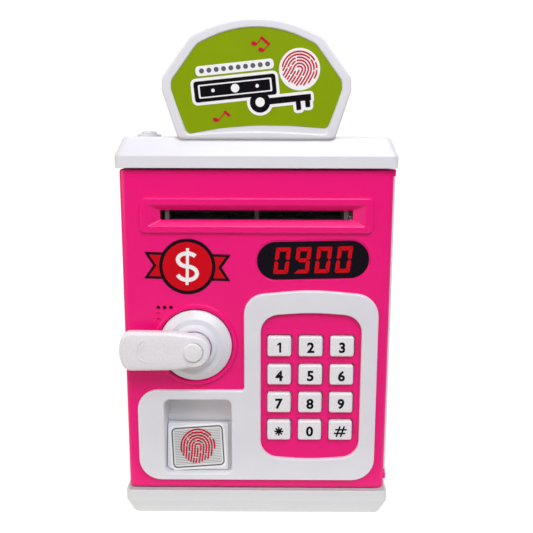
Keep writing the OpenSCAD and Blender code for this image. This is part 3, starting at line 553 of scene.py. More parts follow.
under = lid_top - wall
lip_z = lid_base + lid_lip
profile = rounded([(wall, under - 3.0), (wall, lid_base), (0, lid_base), (0, lip_z), (chamfer, lid_top),
                   (chamfer + 1.5, lid_top)], [0, 0, 0.25, 1.1, 1.9, 0], 4, False)[:-1]
outer = [cap_ring(wall + chamfer, under)] + [cap_ring(inset, z, chamfer + 0.45) for inset, z in profile]
coin = oblong(-coin_l / 2, coin_y - coin_w / 2, coin_l / 2, coin_y + coin_w / 2, 0.4, 3)
hole = circle(button.x, button.y, button_r + 0.2)
collar = circle(button.x, button.y, 6.0)
lid_skins = [
    (outer, "under", "top"),
    ([level(coin, under)] + eased(coin, lid_top, 0.4, 1, level, -1), "under", "top"),
    ([level(hole, under)] + eased(hole, lid_top + collar_h, 0.3, 1, level, -1)
     + eased(collar, lid_top + collar_h, 1.0, -1, level, -1)[::-1]
     + [level(collar, lid_top + 0.2), level(grown(collar, 0.15), lid_top)], "under", "top"),
]
for s in (-1, 1):
    tab = oblong(s * 22 - 5.1, sign_y + 2.7, s * 22 + 5.1, sign_y + 5.3)
    lid_skins.append(([level(tab, under), level(tab, lid_top)], "under", "top"))
lid = moulding(lid_skins)
for s in (-1, 1):
    for y in (boss_front, boss_back):
        moulding([rod(boss_r, lid_base, under + 0.5, (s * boss_x, y), "z")], lid)
piece("lid_moulding", lid, white_abs, "case", ["lid"], 30)

# Base: the same edge turned over, open at the top under the case floor
lip_z = base_top - base_lip
profile = rounded([(wall + base_slope * 0.75, wall), (wall, lip_z - 0.8), (wall, base_top), (0, base_top),
                   (0, lip_z), (base_slope, 0), (base_slope + 2.2, 0)],
                  [0, 0, 0, 0.5, 1.0, 1.3, 0], 4, False)[:-1]
base_skins = [([cap_ring(inset, z) for inset, z in profile], "cap", "ground")]
foot_r, foot_t, head_r = 5.0, 1.2, 2.2
FEET = [(x * (half_w - 24), y * (half_d - 12)) for x in (-1, 1) for y in (-1, 1)]
for x, y in FEET:
    pocket = circle(x, y, foot_r, 32)
    base_skins.append(([level(pocket, foot_t), level(pocket, 0)], "cap", "ground"))
head_z = base_top - boss_down - 3.0
for x in (-boss_x, boss_x):
    for y in (boss_front, boss_back):
        well = circle(x, y, head_r + 0.3, 24)
        base_skins.append(([level(well, head_z)] + eased(well, 0, 0.4, 1, level, 1), "cap", "ground"))
base = moulding(base_skins)
moulding([brick(-half_w + 1, -half_d + 0.6, base_top - 1.6, half_w - 1, case_front + 2, base_top, 0.3)], base)
piece("base_moulding", base, shaded_base_abs, "case", ["base"], 30)
feet = moulding([rod(foot_r - 0.05, 0, foot_t, at, "z", 0.35) for at in FEET])
piece("foot_discs", feet, grey_rubber, "case", ["rubber_feet"])

# ---------- sign ----------
SIGN_RADII = [3, 3, 4, 4, 8, 56, 8, 4, 4]


def sign_corners(inset):
    w, h, foot = sign_w, sign_h, 0.41 * sign_h
    points = [(-0.42 * w, 0), (0.42 * w, 0), (w / 2 + 0.2, foot), (w / 2, foot + 0.11 * h),
              (0.345 * w, 0.86 * h), (0, 1.12 * h), (-0.345 * w, 0.86 * h), (-w / 2, foot + 0.11 * h),
              (-w / 2 - 0.2, foot)]
    return grown(moved(points, 0, sign_z), -inset)


face_y = sign_y + sign_step
web = 2.2
frame_w = 4.1
# The rim is thin along the foot, and its edge there rises to the middle
corners = sign_corners(frame_w)
foot_drop, foot_rise = 2.1, 1.8
lean = (corners[1][0] - corners[2][0]) / (corners[2][1] - corners[1][1])
foot = [(s * (corners[1][0] + lean * foot_drop), corners[1][1] - foot_drop) for s in (-1, 1)]
foot.insert(1, (0, foot[0][1] + foot_rise))
window = rounded(foot + corners[2:], [2.5, 300, 2.5, 4, 4, 8, 50, 8, 4, 4], 9)
hollow = rounded(sign_corners(3.0), SIGN_RADII, 9)
whole = rounded(sign_corners(0.0), SIGN_RADII, 9)
sign = moulding([
    ([upright(whole, sign_y + sign_t)] + eased(whole, sign_y, 1.1), "rear", "rim"),
    ([upright(grown(window, -0.3), face_y), upright(grown(window, -0.12), face_y - 0.2)]
     + eased(window, sign_y, 0.45, 1), "cap", "rim"),
    ([upright(hollow, face_y + web), upright(hollow, sign_y + sign_t)], "cap", "rear"),
])
mid_y = sign_y + sign_t / 2
for x in (-14, 14):
    moulding([brick(x - 0.6, face_y + web - 0.3, lid_top + 1.5, x + 0.6, sign_y + sign_t,
                    sign_z + sign_h - 10, 0.2)], sign)
for s in (-1, 1):
    moulding([brick(s * 22 - 5, mid_y - 1.2, lid_top - 4, s * 22 + 5, mid_y + 1.2, lid_top + 6, 0.3)], sign)
piece("sign_moulding", sign, white_abs, "case", ["sign_frame"])

# The film was cut by hand along its foot and tucks under the rim elsewhere
sticker = rounded([(-31.4, 187.9), (-15, 190.8), (0, 191.9), (15, 191.8), (32.2, 190.5)]
                  + sign_corners(frame_w - 0.15)[2:], [2.5, 60, 60, 60, 2.5, 4, 4, 8, 50, 8, 4, 4], 6)
piece("sign_film", moulding([decal(sticker, face_y - 0.2, 0.2)]), ink_green, "case", ["sign_face"])


def tilt(outline, degrees, at):
    """An outline drawn round the origin, turned and then put in its place."""
    return moved(turned_by(outline, degrees, (0, 0)), *at)


# Icons on the sign: a note, a key and a row of code dots, each with a white edge
ink_y = face_y - 0.2 - PRINT
RISE = 6.0
white_art, black_art, red_art, grey_art = bmesh.new(), bmesh.new(), bmesh.new(), bmesh.new()


def icon(outline, degrees, at, border=1.3):
    moulding([decal(tilt(grown(outline, border), degrees, at), ink_y)], white_art)
    moulding([decal(tilt(outline, degrees, at), ink_y - PRINT)], black_art)


def hole_in(outline, degrees, at, layer=2):
    moulding([decal(tilt(outline, degrees, at), ink_y - layer * PRINT)], white_art)


note_at, key_at, dots_at = (-9.6, 208.2), (10.6, 203.0), (-9.8, 217.2)
icon(oblong(-18.5, -4.6, 18.5, 4.6, 1.2), RISE, note_at)
hole_in(oblong(-16.6, -3.0, 16.6, 3.0, 0.6), RISE, note_at)
moulding([decal(tilt(oblong(-15.8, -2.4, 15.8, 2.4, 0.5), RISE, note_at), ink_y - 3 * PRINT)], black_art)
hole_in(circle(0, 0, 1.9, 32), RISE, note_at, 4)
for x in (-10, 10):
    hole_in(circle(x, 0, 0.8, 20), RISE, note_at, 4)
icon(circle(-9, 0, 4.6, 40), RISE, key_at)
for stroke in ((-6, -1.4, 14, 1.4), (7, -5.2, 9.2, 0), (11.2, -4.4, 13.4, 0)):
    icon(oblong(*stroke, 0.4), RISE, key_at)
hole_in(circle(-9, 0, 2.1, 32), RISE, key_at)
moulding([decal(tilt(oblong(-17.6, -2.2, 17.6, 2.2, 1.6, 4), RISE, dots_at), ink_y)], white_art)
for k in range(10):
    moulding([decal(tilt(circle(-14.85 + 3.3 * k, 0, 1.1, 24), RISE, dots_at), ink_y - PRINT)], grey_art)


def whorl(centre, radius, pitch, stroke, degrees, y, bm, seed):
    """A fingerprint: nested arches whose legs run down to a round edge, broken here and there."""
    draw = random.Random(seed)
    step = 0.42 * pitch
    for i in range(int(radius / pitch) + 1):
        a = radius - i * pitch
        ends = [0.95 * math.sqrt(max(radius ** 2 - a ** 2, 0)) * draw.uniform(0.86, 1.0) for _ in range(2)]
        left, right = [-max(end, 0.18 * radius) for end in ends]
        path = []
        count = max(int(-left / step), 2)
        path += [(-a, left * (1 - k / count)) for k in range(count)]
        if a > 0.3 * pitch:
            count = max(int(math.pi * a / step), 5)
            turns = [math.pi * (1 - k / count) for k in range(count + 1)]
            path += [(a * math.cos(turn), a * math.sin(turn)) for turn in turns]
            count = max(int(-right / step), 2)
            path += [(a, right * k / count) for k in range(1, count + 1)]
        path = [(x * (1 + 0.03 * z / radius) - 0.12 * min(z, 0) ** 2 / radius, z) for x, z in path]
        if i == 0:
            path = [(radius * math.cos(t), radius * math.sin(t)) for t in
                    (math.radians(196 - 5 * k) for k in range(41))]
        breaks = sorted(draw.sample(range(4, len(path) - 4), min(2, len(path) // 9)))
        for first, last in zip([0] + [k + 1 for k in breaks], breaks + [len(path)]):
            if last - first > 2:
                moulding([strip(tilt(path[first:last], degrees, centre), stroke, y)], bm)


disc_at = (19.3, 216.5)
moulding([decal(circle(*disc_at, 9.2, 48), ink_y)], white_art)
whorl(disc_at, 7.7, 1.28, 0.72, -25, ink_y - PRINT, red_art, 4)


def note_head(x, z):
    c, s = math.cos(0.4), math.sin(0.4)
    line = [(1.35 * math.cos(t), 0.95 * math.sin(t)) for t in (2 * math.pi * k / 20 for k in range(20))]
    return [(x + px * c - pz * s, z + px * s + pz * c) for px, pz in line]


pair_at, single_at = (1.7, 227.6), (-15.9, 196.3)
music = [(pair_at, -40, [(-2.1, -1.9), (2.1, -1.9)], [(-1.1, 2.2), (0.9, 2.2), (3.1, 2.2)]),
         (single_at, -40, [(-0.6, -3.2)], [(0.4, 2.2), (1.4, 2.2), (2.7, 2.2)])]
for at, turn, heads, flag in music:
    for x, z in heads:
        stem_line = [(x + 1.1, z + 0.2), (x + 1.1, 0), (x + 1.1, 2.5)]
        moulding([decal(tilt(note_head(x, z), turn, at), ink_y - PRINT),
                  strip(tilt(stem_line, turn, at), 0.55, ink_y - PRINT)], red_art)
    moulding([strip(tilt(flag, turn, at), 1.3, ink_y - PRINT)], red_art)
printed("sign_print_white", white_art, ink_white, "case")
printed("sign_print_black", black_art, ink_black, "case")
printed("sign_print_red", red_art, ink_crimson, "case")
printed("sign_print_grey", grey_art, ink_grey, "case")

# ---------- lid button ----------
button_top = span("lid_button")[1].z
button_low = span("lid_button")[0].z
cap_profile = rounded([(0.01, button_low), (button_r + 1.2, button_low), (button_r + 1.2, button_low + 1.3),
                       (button_r, button_low + 1.3), (button_r, button_top - 0.15), (0.01, button_top)],
                      [0, 0.2, 0.2, 0.2, 0.9, 0], 4, False)
piece("button_cap", moulding([lathe(cap_profile, (button.x, button.y), "z")]), key_abs, "lid_button",
      ["lid_button"])


# ---------- door ----------
def door_ring(y, side, end, right=None):
    """The door's outline at a depth, in from its sides and from its ends."""
    r = door_r if right is None else right
    return upright(oblong(door_l + side, door_b + end, r - side, door_top - end, door_corner_r, 5), y)


back_y = door_y + plate_t
rim_inside = cover_high.x + 1
rim_r = rim_inside + door_rim_w
tray = oblong(door_l + door_rim_w, door_b + door_rim_w, rim_inside, door_top - door_rim_w, 1.2)
door_skin = [upright(tray, back_y), upright(tray, door_y + rim_t), door_ring(door_y + rim_t, 0, 0, rim_r),
             door_ring(back_y + 0.2, 0, 0, rim_r), door_ring(back_y, 0, 0)]
for k in range(8):
    a = math.pi / 2 * k / 7
    door_skin.append(door_ring(door_y + side_ease * 0.55 * (1 - math.sin(a)), side_ease * (1 - math.cos(a)),
                               0.8 * (1 - math.cos(a))))
skins = [(door_skin, "back", "front")]

# Note slot: a raised bezel and a funnel down to the slot
mouth = oblong(-slot_w / 2, slot_z - slot_h / 2, slot_w / 2, slot_z + slot_h / 2, 0.5, 4)
bezel_w, bezel_h = slot_w + 18.4, slot_h + 11.8
bezel = oblong(-bezel_w / 2, slot_z - bezel_h / 2, bezel_w / 2, slot_z + bezel_h / 2, 2.2, 4)
wide_x, wide_z = slot_w / 2 * 1.13, slot_h * 1.1
wide = oblong(-wide_x, slot_z - wide_z, wide_x, slot_z + wide_z, 0.7, 4)
deep_wide = [tuple(Vector(a).lerp(Vector(b), 0.93)) for a, b in zip(mouth, wide)]
slot_rings = [upright(mouth, back_y), upright(mouth, door_y + plate_t - 1),
              upright(deep_wide, door_y - 1.25), upright(grown(wide, 0.1), door_y - bezel_out + 0.05),
              upright(grown(wide, 0.45), door_y - bezel_out)]
slot_rings += eased(bezel, door_y - bezel_out, 0.7)[::-1][:-1]
slot_rings += [upright(bezel, door_y - 0.35), upright(grown(bezel, 0.3), door_y)]
skins.append((slot_rings, "back", "front"))


def ring_at(r, y):
    return upright(circle(knob_x, knob_z, r, 96), y)


# Raised ring round the handle, its sunk seat and the spindle's bearing
seat_r, ring_r = rose_r + 0.6, rose_r + 2.6
knob_profile = [(3.06, back_y), (3.06, door_y), (seat_r, door_y), (seat_r, door_y - 0.9),
                (seat_r + 0.25, door_y - 1.4), (seat_r + 0.6, door_y - ring_out),
                (ring_r - 0.7, door_y - ring_out), (ring_r - 0.2, door_y - 1.3), (ring_r, door_y - 0.8),
                (ring_r, door_y - 0.3), (ring_r + 0.3, door_y)]
skins.append(([ring_at(r, y) for r, y in knob_profile], "back", "front"))
for name, _ in KEYS:
    at = middle(name)
    hole = oblong(at.x - key_w / 2 - 0.3, at.z - key_h / 2 - 0.3, at.x + key_w / 2 + 0.6,
                  at.z + key_h / 2 + 0.6, 1.3, 4)
    skins.append(([upright(hole, back_y)] + eased(hole, door_y, 0.2, 1), "back", "front"))
bay_l, bay_r = door_l + 18.4, door_l + 51.2
bay_b, bay_top = door_b + 8.5, door_b + 46.7
bay_hole = oblong(bay_l - bay_wall - 0.2, bay_b - bay_wall - 0.2, bay_r + bay_wall + 0.2,
                  bay_top + bay_wall + 0.2)
skins.append(([upright(bay_hole, back_y), upright(bay_hole, door_y)], "back", "front"))
hole_x, hole_z, hole_r, hole_pitch = door_l + 16.6, door_b + 92.5, 0.9, 3.0
for i in range(3):
    ring = circle(hole_x + i * hole_pitch, hole_z, hole_r, 20)
    skins.append(([upright(ring, back_y)] + eased(ring, door_y, 0.2, 1), "back", "front"))
for i in (1, 2):
    ring = circle(hole_x, hole_z - i * hole_pitch, hole_r - 0.1, 20)
    skins.append(([upright(grown(ring, -0.1), door_y + 0.8)] + eased(ring, door_y, 0.3, 1), "cap", "front"))
seat = turned_by(oblong(pill.x - pill_w / 2 - 0.6, pill.z - pill_h / 2 - 0.6, pill.x + pill_w / 2 + 0.6,
                        pill.z + pill_h / 2 + 0.6, pill_h / 2 + 0.5, 10), pill_turn, (pill.x, pill.z))
skins.append(([upright(grown(seat, -0.15), door_y + 0.4)] + eased(seat, door_y, 0.35, 1), "cap", "front"))
# Witness mark of the mould's gate
gate = circle(pill.x + 30.5, pill.z + 1.0, 0.9, 24)
skins.append(([upright(grown(gate, -0.25), door_y + 0.12), upright(gate, door_y)], "cap", "front"))
door = moulding(skins)
for z in (knuckle_low, knuckle_high):
    moulding([rod(knuckle_r, z, z + knuckle_h, (hinge.x, hinge.y), "z", 0.35),
              brick(hinge.x - knuckle_r, door_y + 1, z,
                    hinge.x + knuckle_r - 0.6, hinge.y, z + knuckle_h, 0.3)], door)
# Posts for the cover's screws, and the spindle's boss
post_r, post_in, post_up, spindle_boss_r = 2.2, 4.1, 4.3, 6.0
keys_mid_z = middle("key_1").z + key_h / 2 + 16.7
posts = [(x, z) for x in (cover_low.x + post_in, cover_high.x - post_in)
         for z in (cover_low.z + post_up, cover_high.z - post_up)]
posts += [(middle("key_1").x - 14.3, keys_mid_z), (cover_high.x - post_in, keys_mid_z)]
moulding([rod(post_r, back_y - 0.5, cover_high.y - 2, p) for p in posts], door)
moulding([rod(spindle_boss_r, back_y - 0.5, door_y + 5.4, (knob_x, knob_z))], door)
piece("door_moulding", door, pink_abs, "door", ["door_panel"], 30)

# Display label with four seven-bar digits
pill_line = turned_by(oblong(pill.x - pill_w / 2, pill.z - pill_h / 2, pill.x + pill_w / 2,
                             pill.z + pill_h / 2, pill_h / 2 - 0.05, 10), pill_turn, (pill.x, pill.z))
piece("display_film", moulding([decal(pill_line, pill_y, 0.2)]), ink_black, "door", ["display_label"])
BARS = {"0": "abcdef", "9": "abcdfg"}
digit_w, digit_h, digit_pitch, bar_t, bar_gap, slant = 7.0, 12.6, 9.7, 1.9, 0.17, 8.0


def bar(letter, x, z):
    """One lit bar of a digit whose middle is at x, z, with mitred ends."""
    w, h, t, g = digit_w / 2, digit_h / 2, bar_t, bar_gap
    flat = [(-w + g, 0), (w - g, 0), (w - t - g, -t), (-w + t + g, -t)]
    wide = [(-w + g + t / 2, 0), (-w + t + g, t / 2), (w - t - g, t / 2), (w - g - t / 2, 0),
            (w - t - g, -t / 2), (-w + t + g, -t / 2)]
    tall = [(0, h - g), (t, h - t - g), (t, t / 2 + g), (t / 2, g), (0, g + t / 4)]
    shape = {"a": moved(flat, 0, h), "d": [(px, -pz) for px, pz in moved(flat, 0, h)], "g": wide,
             "f": moved(tall, -w, 0), "b": [(-px, pz) for px, pz in moved(tall, -w, 0)],
             "e": [(px, -pz) for px, pz in moved(tall, -w, 0)],
             "c": [(-px, -pz) for px, pz in moved(tall, -w, 0)]}[letter]
    lean = math.tan(math.radians(slant))
    return [(x + px + pz * lean, z + pz) for px, pz in shape]


digits = bmesh.new()
for i, digit in enumerate("0900"):
    for letter in BARS[digit]:
        line = bar(letter, pill.x + (i - 1.5) * digit_pitch, pill.z)
        moulding([decal(turned_by(line, pill_turn, (pill.x, pill.z)), pill_y - PRINT)], digits)
printed("display_digits", digits, ink_red, "door")


# Badge: a red ribbon and disc with black outlines and a dollar sign
def ribbon(inset):
    w, h, tail = badge_w / 2, badge_h / 2, 4.2
    line = [(-w, -h), (w, -h), (w - tail, 0), (w, h), (-w, h), (-w + tail, 0)]
    return tilt(grown(line, -inset), badge_turn, (badge.x, badge.z))


ribbon_border, disc_border = 1.35, 1.6
badge_at = (badge.x, badge.z)
badge_film = moulding([decal(ribbon(0), badge_y, 0.2)])
piece("badge_ribbon_edge", badge_film, ink_black, "door", ["badge_label"])
tails = moulding([decal(ribbon(ribbon_border), badge_y - PRINT)])
printed("badge_ribbon", tails, ink_red, "door")
disc_edge = moulding([decal(circle(*badge_at, badge_r, 64), badge_y - 2 * PRINT, 0.2 + PRINT)])
printed("badge_disc_edge", disc_edge, ink_black, "door")
disc = moulding([decal(circle(*badge_at, badge_r - disc_border, 64), badge_y - 3 * PRINT)])
printed("badge_disc", disc, ink_red, "door")
# The sign is two bows, one above the other, and an upright bar
bow_z, bow_stroke, bar_half, bar_reach = 3.2, 1.95, 0.7, 8.8
curve = []
for k in range(17):
    t = math.radians(36 + 234 * k / 16)
    curve.append((4.5 * math.cos(t), bow_z + 3.15 * math.sin(t)))
for k in range(1, 18):
    t = math.radians(90 - 255 * k / 17)
    curve.append((4.6 * math.cos(t), -bow_z + 3.25 * math.sin(t)))
upright_bar = tilt(oblong(-bar_half, -bar_reach, bar_half, bar_reach), badge_turn, badge_at)
dollar = [strip(tilt(curve, badge_turn, badge_at), bow_stroke, badge_y - 4 * PRINT, cut=True),
          decal(upright_bar, badge_y - 4.4 * PRINT)]
printed("badge_dollar", moulding(dollar), ink_white, "door")

# ---------- fascia ----------
fascia_b = fascia_low.z
fascia_step = fascia_b + 46.7
fascia_top = fascia_b + 93.9
split = door_r - 69.5
mid_x = (split + fascia_high.x) / 2
front_y = door_y - fascia_out
plate = rounded([(fascia_low.x, fascia_b), (fascia_high.x, fascia_b), (fascia_high.x, fascia_top),
                 (mid_x, fascia_top + 3.0), (split, fascia_top), (split, fascia_step),
                 (fascia_low.x, fascia_step)], [11, 11, 11, 120, 10, 1.5, 10], 8)
win_l, win_r, win_b, win_top = door_r - 61.5, door_r - 13.2, door_b + 17.4, door_b + 89
win_mid = (win_l + win_r) / 2
view = rounded([(win_l, win_b), (win_mid, win_b - 1.8), (win_r, win_b), (win_r, win_top),
                (win_mid, win_top + 1.8), (win_l, win_top)], [9, 120, 9, 9, 120, 9], 8)
bay = oblong(bay_l, bay_b, bay_r, bay_top, 3.0, 6)
bay_out = oblong(bay_l - bay_wall, bay_b - bay_wall, bay_r + bay_wall, bay_top + bay_wall, 3.5, 4)
stem_at = ((bay_l + bay_r) / 2, (bay_b + span("finger_pad")[1].z) / 2)
stem = circle(*stem_at, 3.5, 32)
fascia = moulding([
    ([upright(plate, door_y)] + eased(plate, front_y, 0.8, steps=4), "seat", "face"),
    ([upright(view, door_y)] + eased(view, front_y, 0.6, 1, steps=4), "seat", "face"),
    ([upright(bay_out, door_y), upright(bay_out, door_y + bay_depth + bay_wall)], "seat", "rear"),
    (eased(grown(bay, -0.3), door_y + bay_depth, -0.5, 1)[::-1] + eased(bay, front_y, 1.0, 1, steps=4),
     "floor", "face"),
    ([upright(stem, door_y + bay_depth + bay_wall), upright(stem, door_y + bay_depth)], "rear", "floor"),
])
piece("fascia_moulding", fascia, white_abs, "door", ["fascia"], 30)

# ---------- handle ----------
rose_profile = [(8.1, 0), (rose_r, 0), (rose_r, 1.2), (rose_r - 0.6, 1.8), (13.6, 4.0), (10.9, 4.0),
                (9.9, 5.9), (8.7, 6.1), (8.1, 5.6)]
rose_line = rounded(rose_profile, [0, 0.1, 0.4, 0.4, 0.8, 0.6, 0.5, 0.3, 0.2], 4)
rose_rings = [upright(circle(knob_x, knob_z, r, 96), door_y - h) for r, h in rose_line]
rose_skin = moulding([(rose_rings + rose_rings[:1], None, None)])
piece("rose", rose_skin, white_abs, "door", ["handle_rose"])

# The blade's tip is rounded, so its corner lies past the end of the lever
tip = lever_low.x - 0.53
tip_in, neck_x, neck_in = 2.5, knob_x - 11, 0.3
half_h = (lever_high.z - lever_low.z) / 2
blade = rounded([(knob_x + 1, knob_z - hub_r), (neck_x, knob_z - half_h + neck_in),
                 (tip + tip_in, knob_z - half_h), (tip, knob_z), (tip + tip_in, knob_z + half_h),
                 (neck_x, knob_z + half_h - neck_in), (knob_x + 1, knob_z + hub_r)],
                [0, 30, 5, 16, 5, 30, 0], 7)
blade_mid = (knob_x - 18, knob_z)
crown = 0.35
rings = eased(blade, lever_y + lever_t, 0.8, -1, upright, -1)[::-1]
rings += eased(blade, lever_y + crown, 1.9, -1, steps=5)
last = grown(blade, -1.9)
for k, rise in ((0.8, 0.6), (0.55, 0.9), (0.25, 1.0)):
    rings.append(upright(toward(last, blade_mid, k), lever_y + crown * (1 - rise)))
plug_r, seat_y = cap_r + 0.25, lever_y + 1.0
hub_profile = rounded([(0.01, door_y - 0.5), (hub_r, door_y - 0.5), (hub_r, lever_y + 0.25),
                       (cap_r + 0.7, lever_y + 0.1), (plug_r, lever_y + 0.1), (plug_r, seat_y),
                       (0.01, seat_y)], [0, 0.3, 1.4, 0.5, 0.2, 0.1, 0], 5, False)
lever = moulding([(rings, "cap", "cap"), lathe(hub_profile, (knob_x, knob_z), "y", 72)])
# Two faint raised arcs that hint at a turn
for r, first, last in ((5.4, 110, 262), (3.3, 120, 235)):
    turns = [math.radians(first + (last - first) * k / 16) for k in range(17)]
    arc = [(knob_x - 21 + r * math.cos(turn), knob_z + 0.6 + r * math.sin(turn)) for turn in turns]
    moulding([strip(arc, 0.5, lever_y - 0.2, 0.5)], lever)
piece("lever_moulding", lever, key_abs, "handle", ["lever"], 35)
cap_line = rounded([(0.01, seat_y), (cap_r, seat_y), (cap_r, cap_y + 0.25), (0.01, cap_y)],
                   [0, 0, 0.8, 0], 4, False)
piece("lever_plug", moulding([lathe(cap_line, (knob_x, knob_z), "y", 56)]), key_abs, "handle",
      ["lever_cap"])

# ---------- finger pad ----------
pad_low, pad_high = span("finger_pad")
label_low, label_high = span("finger_label")
slope_dy = 5.0 / (pad_high.z - pad_low.z)
pad_back = door_y + 8.6


def on_slope(outline, out):
    """An outline drawn in X and height, laid on the pad's sloping face and raised by a distance."""
    lean = math.hypot(1, slope_dy)
    return [(x, door_y + 1.0 + slope_dy * (z - pad_low.z) - out / lean, z + out * slope_dy / lean)
            for x, z in outline]


body_line = oblong(pad_low.x, pad_low.z, pad_high.x, pad_high.z, [2.55, 1, 1, 1], 4)
pad_rings = [upright(body_line, pad_back)]
for k in range(4):
    a = math.pi / 2 * k / 3
    pad_rings.append(on_slope(grown(body_line, -0.6 * (1 - math.cos(a))), -0.6 * (1 - math.sin(a))))
# A skirt, sunk behind the face, guides the pad in its bay
skirt = oblong(bay_l + 0.2, bay_b + 0.2, bay_r - 0.2, pad_high.z, [2.8, 2.8, 1, 1], 4)
pad_mould = moulding([(pad_rings, "cap", "cap"), rod(3.0, pad_back - 0.1, pad_high.y, stem_at),
                      ([upright(skirt, pad_back), on_slope(skirt, -2.0)], "cap", "cap")])
piece("finger_pad_moulding", pad_mould, white_abs, "finger_pad", ["finger_pad"])


def slope_decal(outline, layer, thick=PRINT):
    return ([on_slope(outline, layer * PRINT - thick), on_slope(outline, layer * PRINT)], "cap", "cap")


label_mid = ((label_low.x + label_high.x) / 2, (label_low.z + label_high.z) / 2)
label_turn = 4.0
label_w, label_h = 27.8, 21.5


def label_line(inset, r):
    w, h = label_w / 2 - inset, label_h / 2 - inset
    return tilt(oblong(-w, -h, w, h, r, 5), label_turn, label_mid)


piece("finger_film", moulding([slope_decal(label_line(0, 2.4), 4, 0.2)]), ink_white, "finger_pad",
      ["finger_label"])
frame_in, field_in = 1.0, 1.65
printed("finger_frame", moulding([slope_decal(label_line(frame_in, 2.2), 5)]), ink_grey, "finger_pad")
printed("finger_field", moulding([slope_decal(label_line(field_in, 1.6), 6)]), ink_pale, "finger_pad")
lines = bmesh.new()
line_half, line_w, line_pitch, line_count = 11.4, 0.18, 0.8, 21
for k in range(line_count):
    z = -8.1 + line_pitch * k
    line = tilt(oblong(-line_half, z, line_half, z + line_w), label_turn, label_mid)
    moulding([slope_decal(line, 7)], lines)
printed("finger_lines", lines, ink_grey, "finger_pad")
finger = bmesh.new()
whorl(label_mid, 8.4, 1.39, 0.78, 0, 0, finger, 11)
for v in finger.verts:
    x, y, z = v.co
    v.co = Vector(on_slope([(x, z)], (9 if y > PRINT / 2 else 10) * PRINT)[0])
printed("finger_arches", finger, ink_crimson, "finger_pad")

# ---------- keys ----------
flange, flange_t = 0.9, 0.9
flange_y = door_y + plate_t + 0.3


def glyph(text, height, weight):
    """A character as a thin layer in millimetres, centred on the origin, facing out of the door."""
    curve = bpy.data.curves.new("glyph", "FONT")
    curve.body = text
    curve.align_x = "CENTER"
    curve.size = 1
    curve.offset = weight
    curve.resolution_u = 4
    curve.extrude = 0.01
    obj = bpy.data.objects.new("glyph", curve)
    bpy.context.scene.collection.objects.link(obj)
    graph = bpy.context.evaluated_depsgraph_get()
    graph.update()
    mesh = bpy.data.meshes.new_from_object(obj.evaluated_get(graph))
    bpy.data.objects.remove(obj)
    bpy.data.curves.remove(curve)
    xs = [v.co.x for v in mesh.vertices]
    ys = [v.co.y for v in mesh.vertices]
    k = height / (max(ys) - min(ys))
    mid = Vector(((max(xs) + min(xs)) / 2, (max(ys) + min(ys)) / 2, 0))
    flat = Matrix.Diagonal((k, k, PRINT / 0.02, 1)) @ Matrix.Translation(-mid)
    mesh.transform(Matrix.Rotation(math.pi / 2, 4, "X") @ flat)
    return mesh


mark_stroke, mark_reach, star_reach = 0.8, 2.5, 1.9


def star(x, z, y):
    """Four crossed strokes."""
    made = []
    for k in range(4):
        a = math.pi * k / 4
        d = Vector((math.cos(a), math.sin(a))) * star_reach
        made.append(strip([(x - d.x, z - d.y), (x, z), (x + d.x, z + d.y)], mark_stroke, y))
    return made


def one(x, z, y):
    """A bar with a flag."""
    line = [(-0.05, -2.5), (0.9, -2.5), (0.9, 2.5), (0.15, 2.5), (-1.0, 1.7), (-1.0, 0.9), (-0.05, 1.4)]
    return [decal(moved(line, x, z), y)]


def hash_mark(x, z, y):
    """Two leaning strokes and two level ones."""
    slope, reach = 0.32, mark_reach
    made = []
    for dx in (-1.05, 1.05):
        line = [(x + dx - reach * slope, z - reach), (x + dx, z), (x + dx + reach * slope, z + reach)]
        made.append(strip(line, mark_stroke, y))
    for dz in (-0.95, 0.95):
        line = [(x - reach + dz * slope, z + dz), (x + dz * slope, z + dz), (x + reach + dz * slope, z + dz)]
        made.append(strip(line, mark_stroke, y))
    return made


DRAWN = {"*": star, "#": hash_mark, "1": one}
key_face = door_y - key_out
mark_h, mark_bold, mark_drop = 5.3, 0.036, 0.4
for name, mark in KEYS:
    at = middle(name)
    line = oblong(at.x - key_w / 2, at.z - key_h / 2, at.x + key_w / 2, at.z + key_h / 2, 1.1, 5)
    foot = grown(line, flange)
    cap = moulding([([upright(foot, flange_y + flange_t), upright(foot, flange_y),
                      upright(line, flange_y)] + eased(line, key_face, 0.85, steps=4), "cap", "cap")])
    piece(name + "_cap", cap, key_abs, name, [name], 50)
    if mark in DRAWN:
        print_bm = moulding(DRAWN[mark](at.x, at.z - mark_drop, key_face - PRINT))
    else:
        print_bm = bmesh.new()
        mesh = glyph(mark, mark_h, mark_bold)
        mesh.transform(Matrix.Translation((at.x, key_face - PRINT / 2, at.z - mark_drop)))
        print_bm.from_mesh(mesh)
    printed(name + "_print", print_bm, ink_black, name)

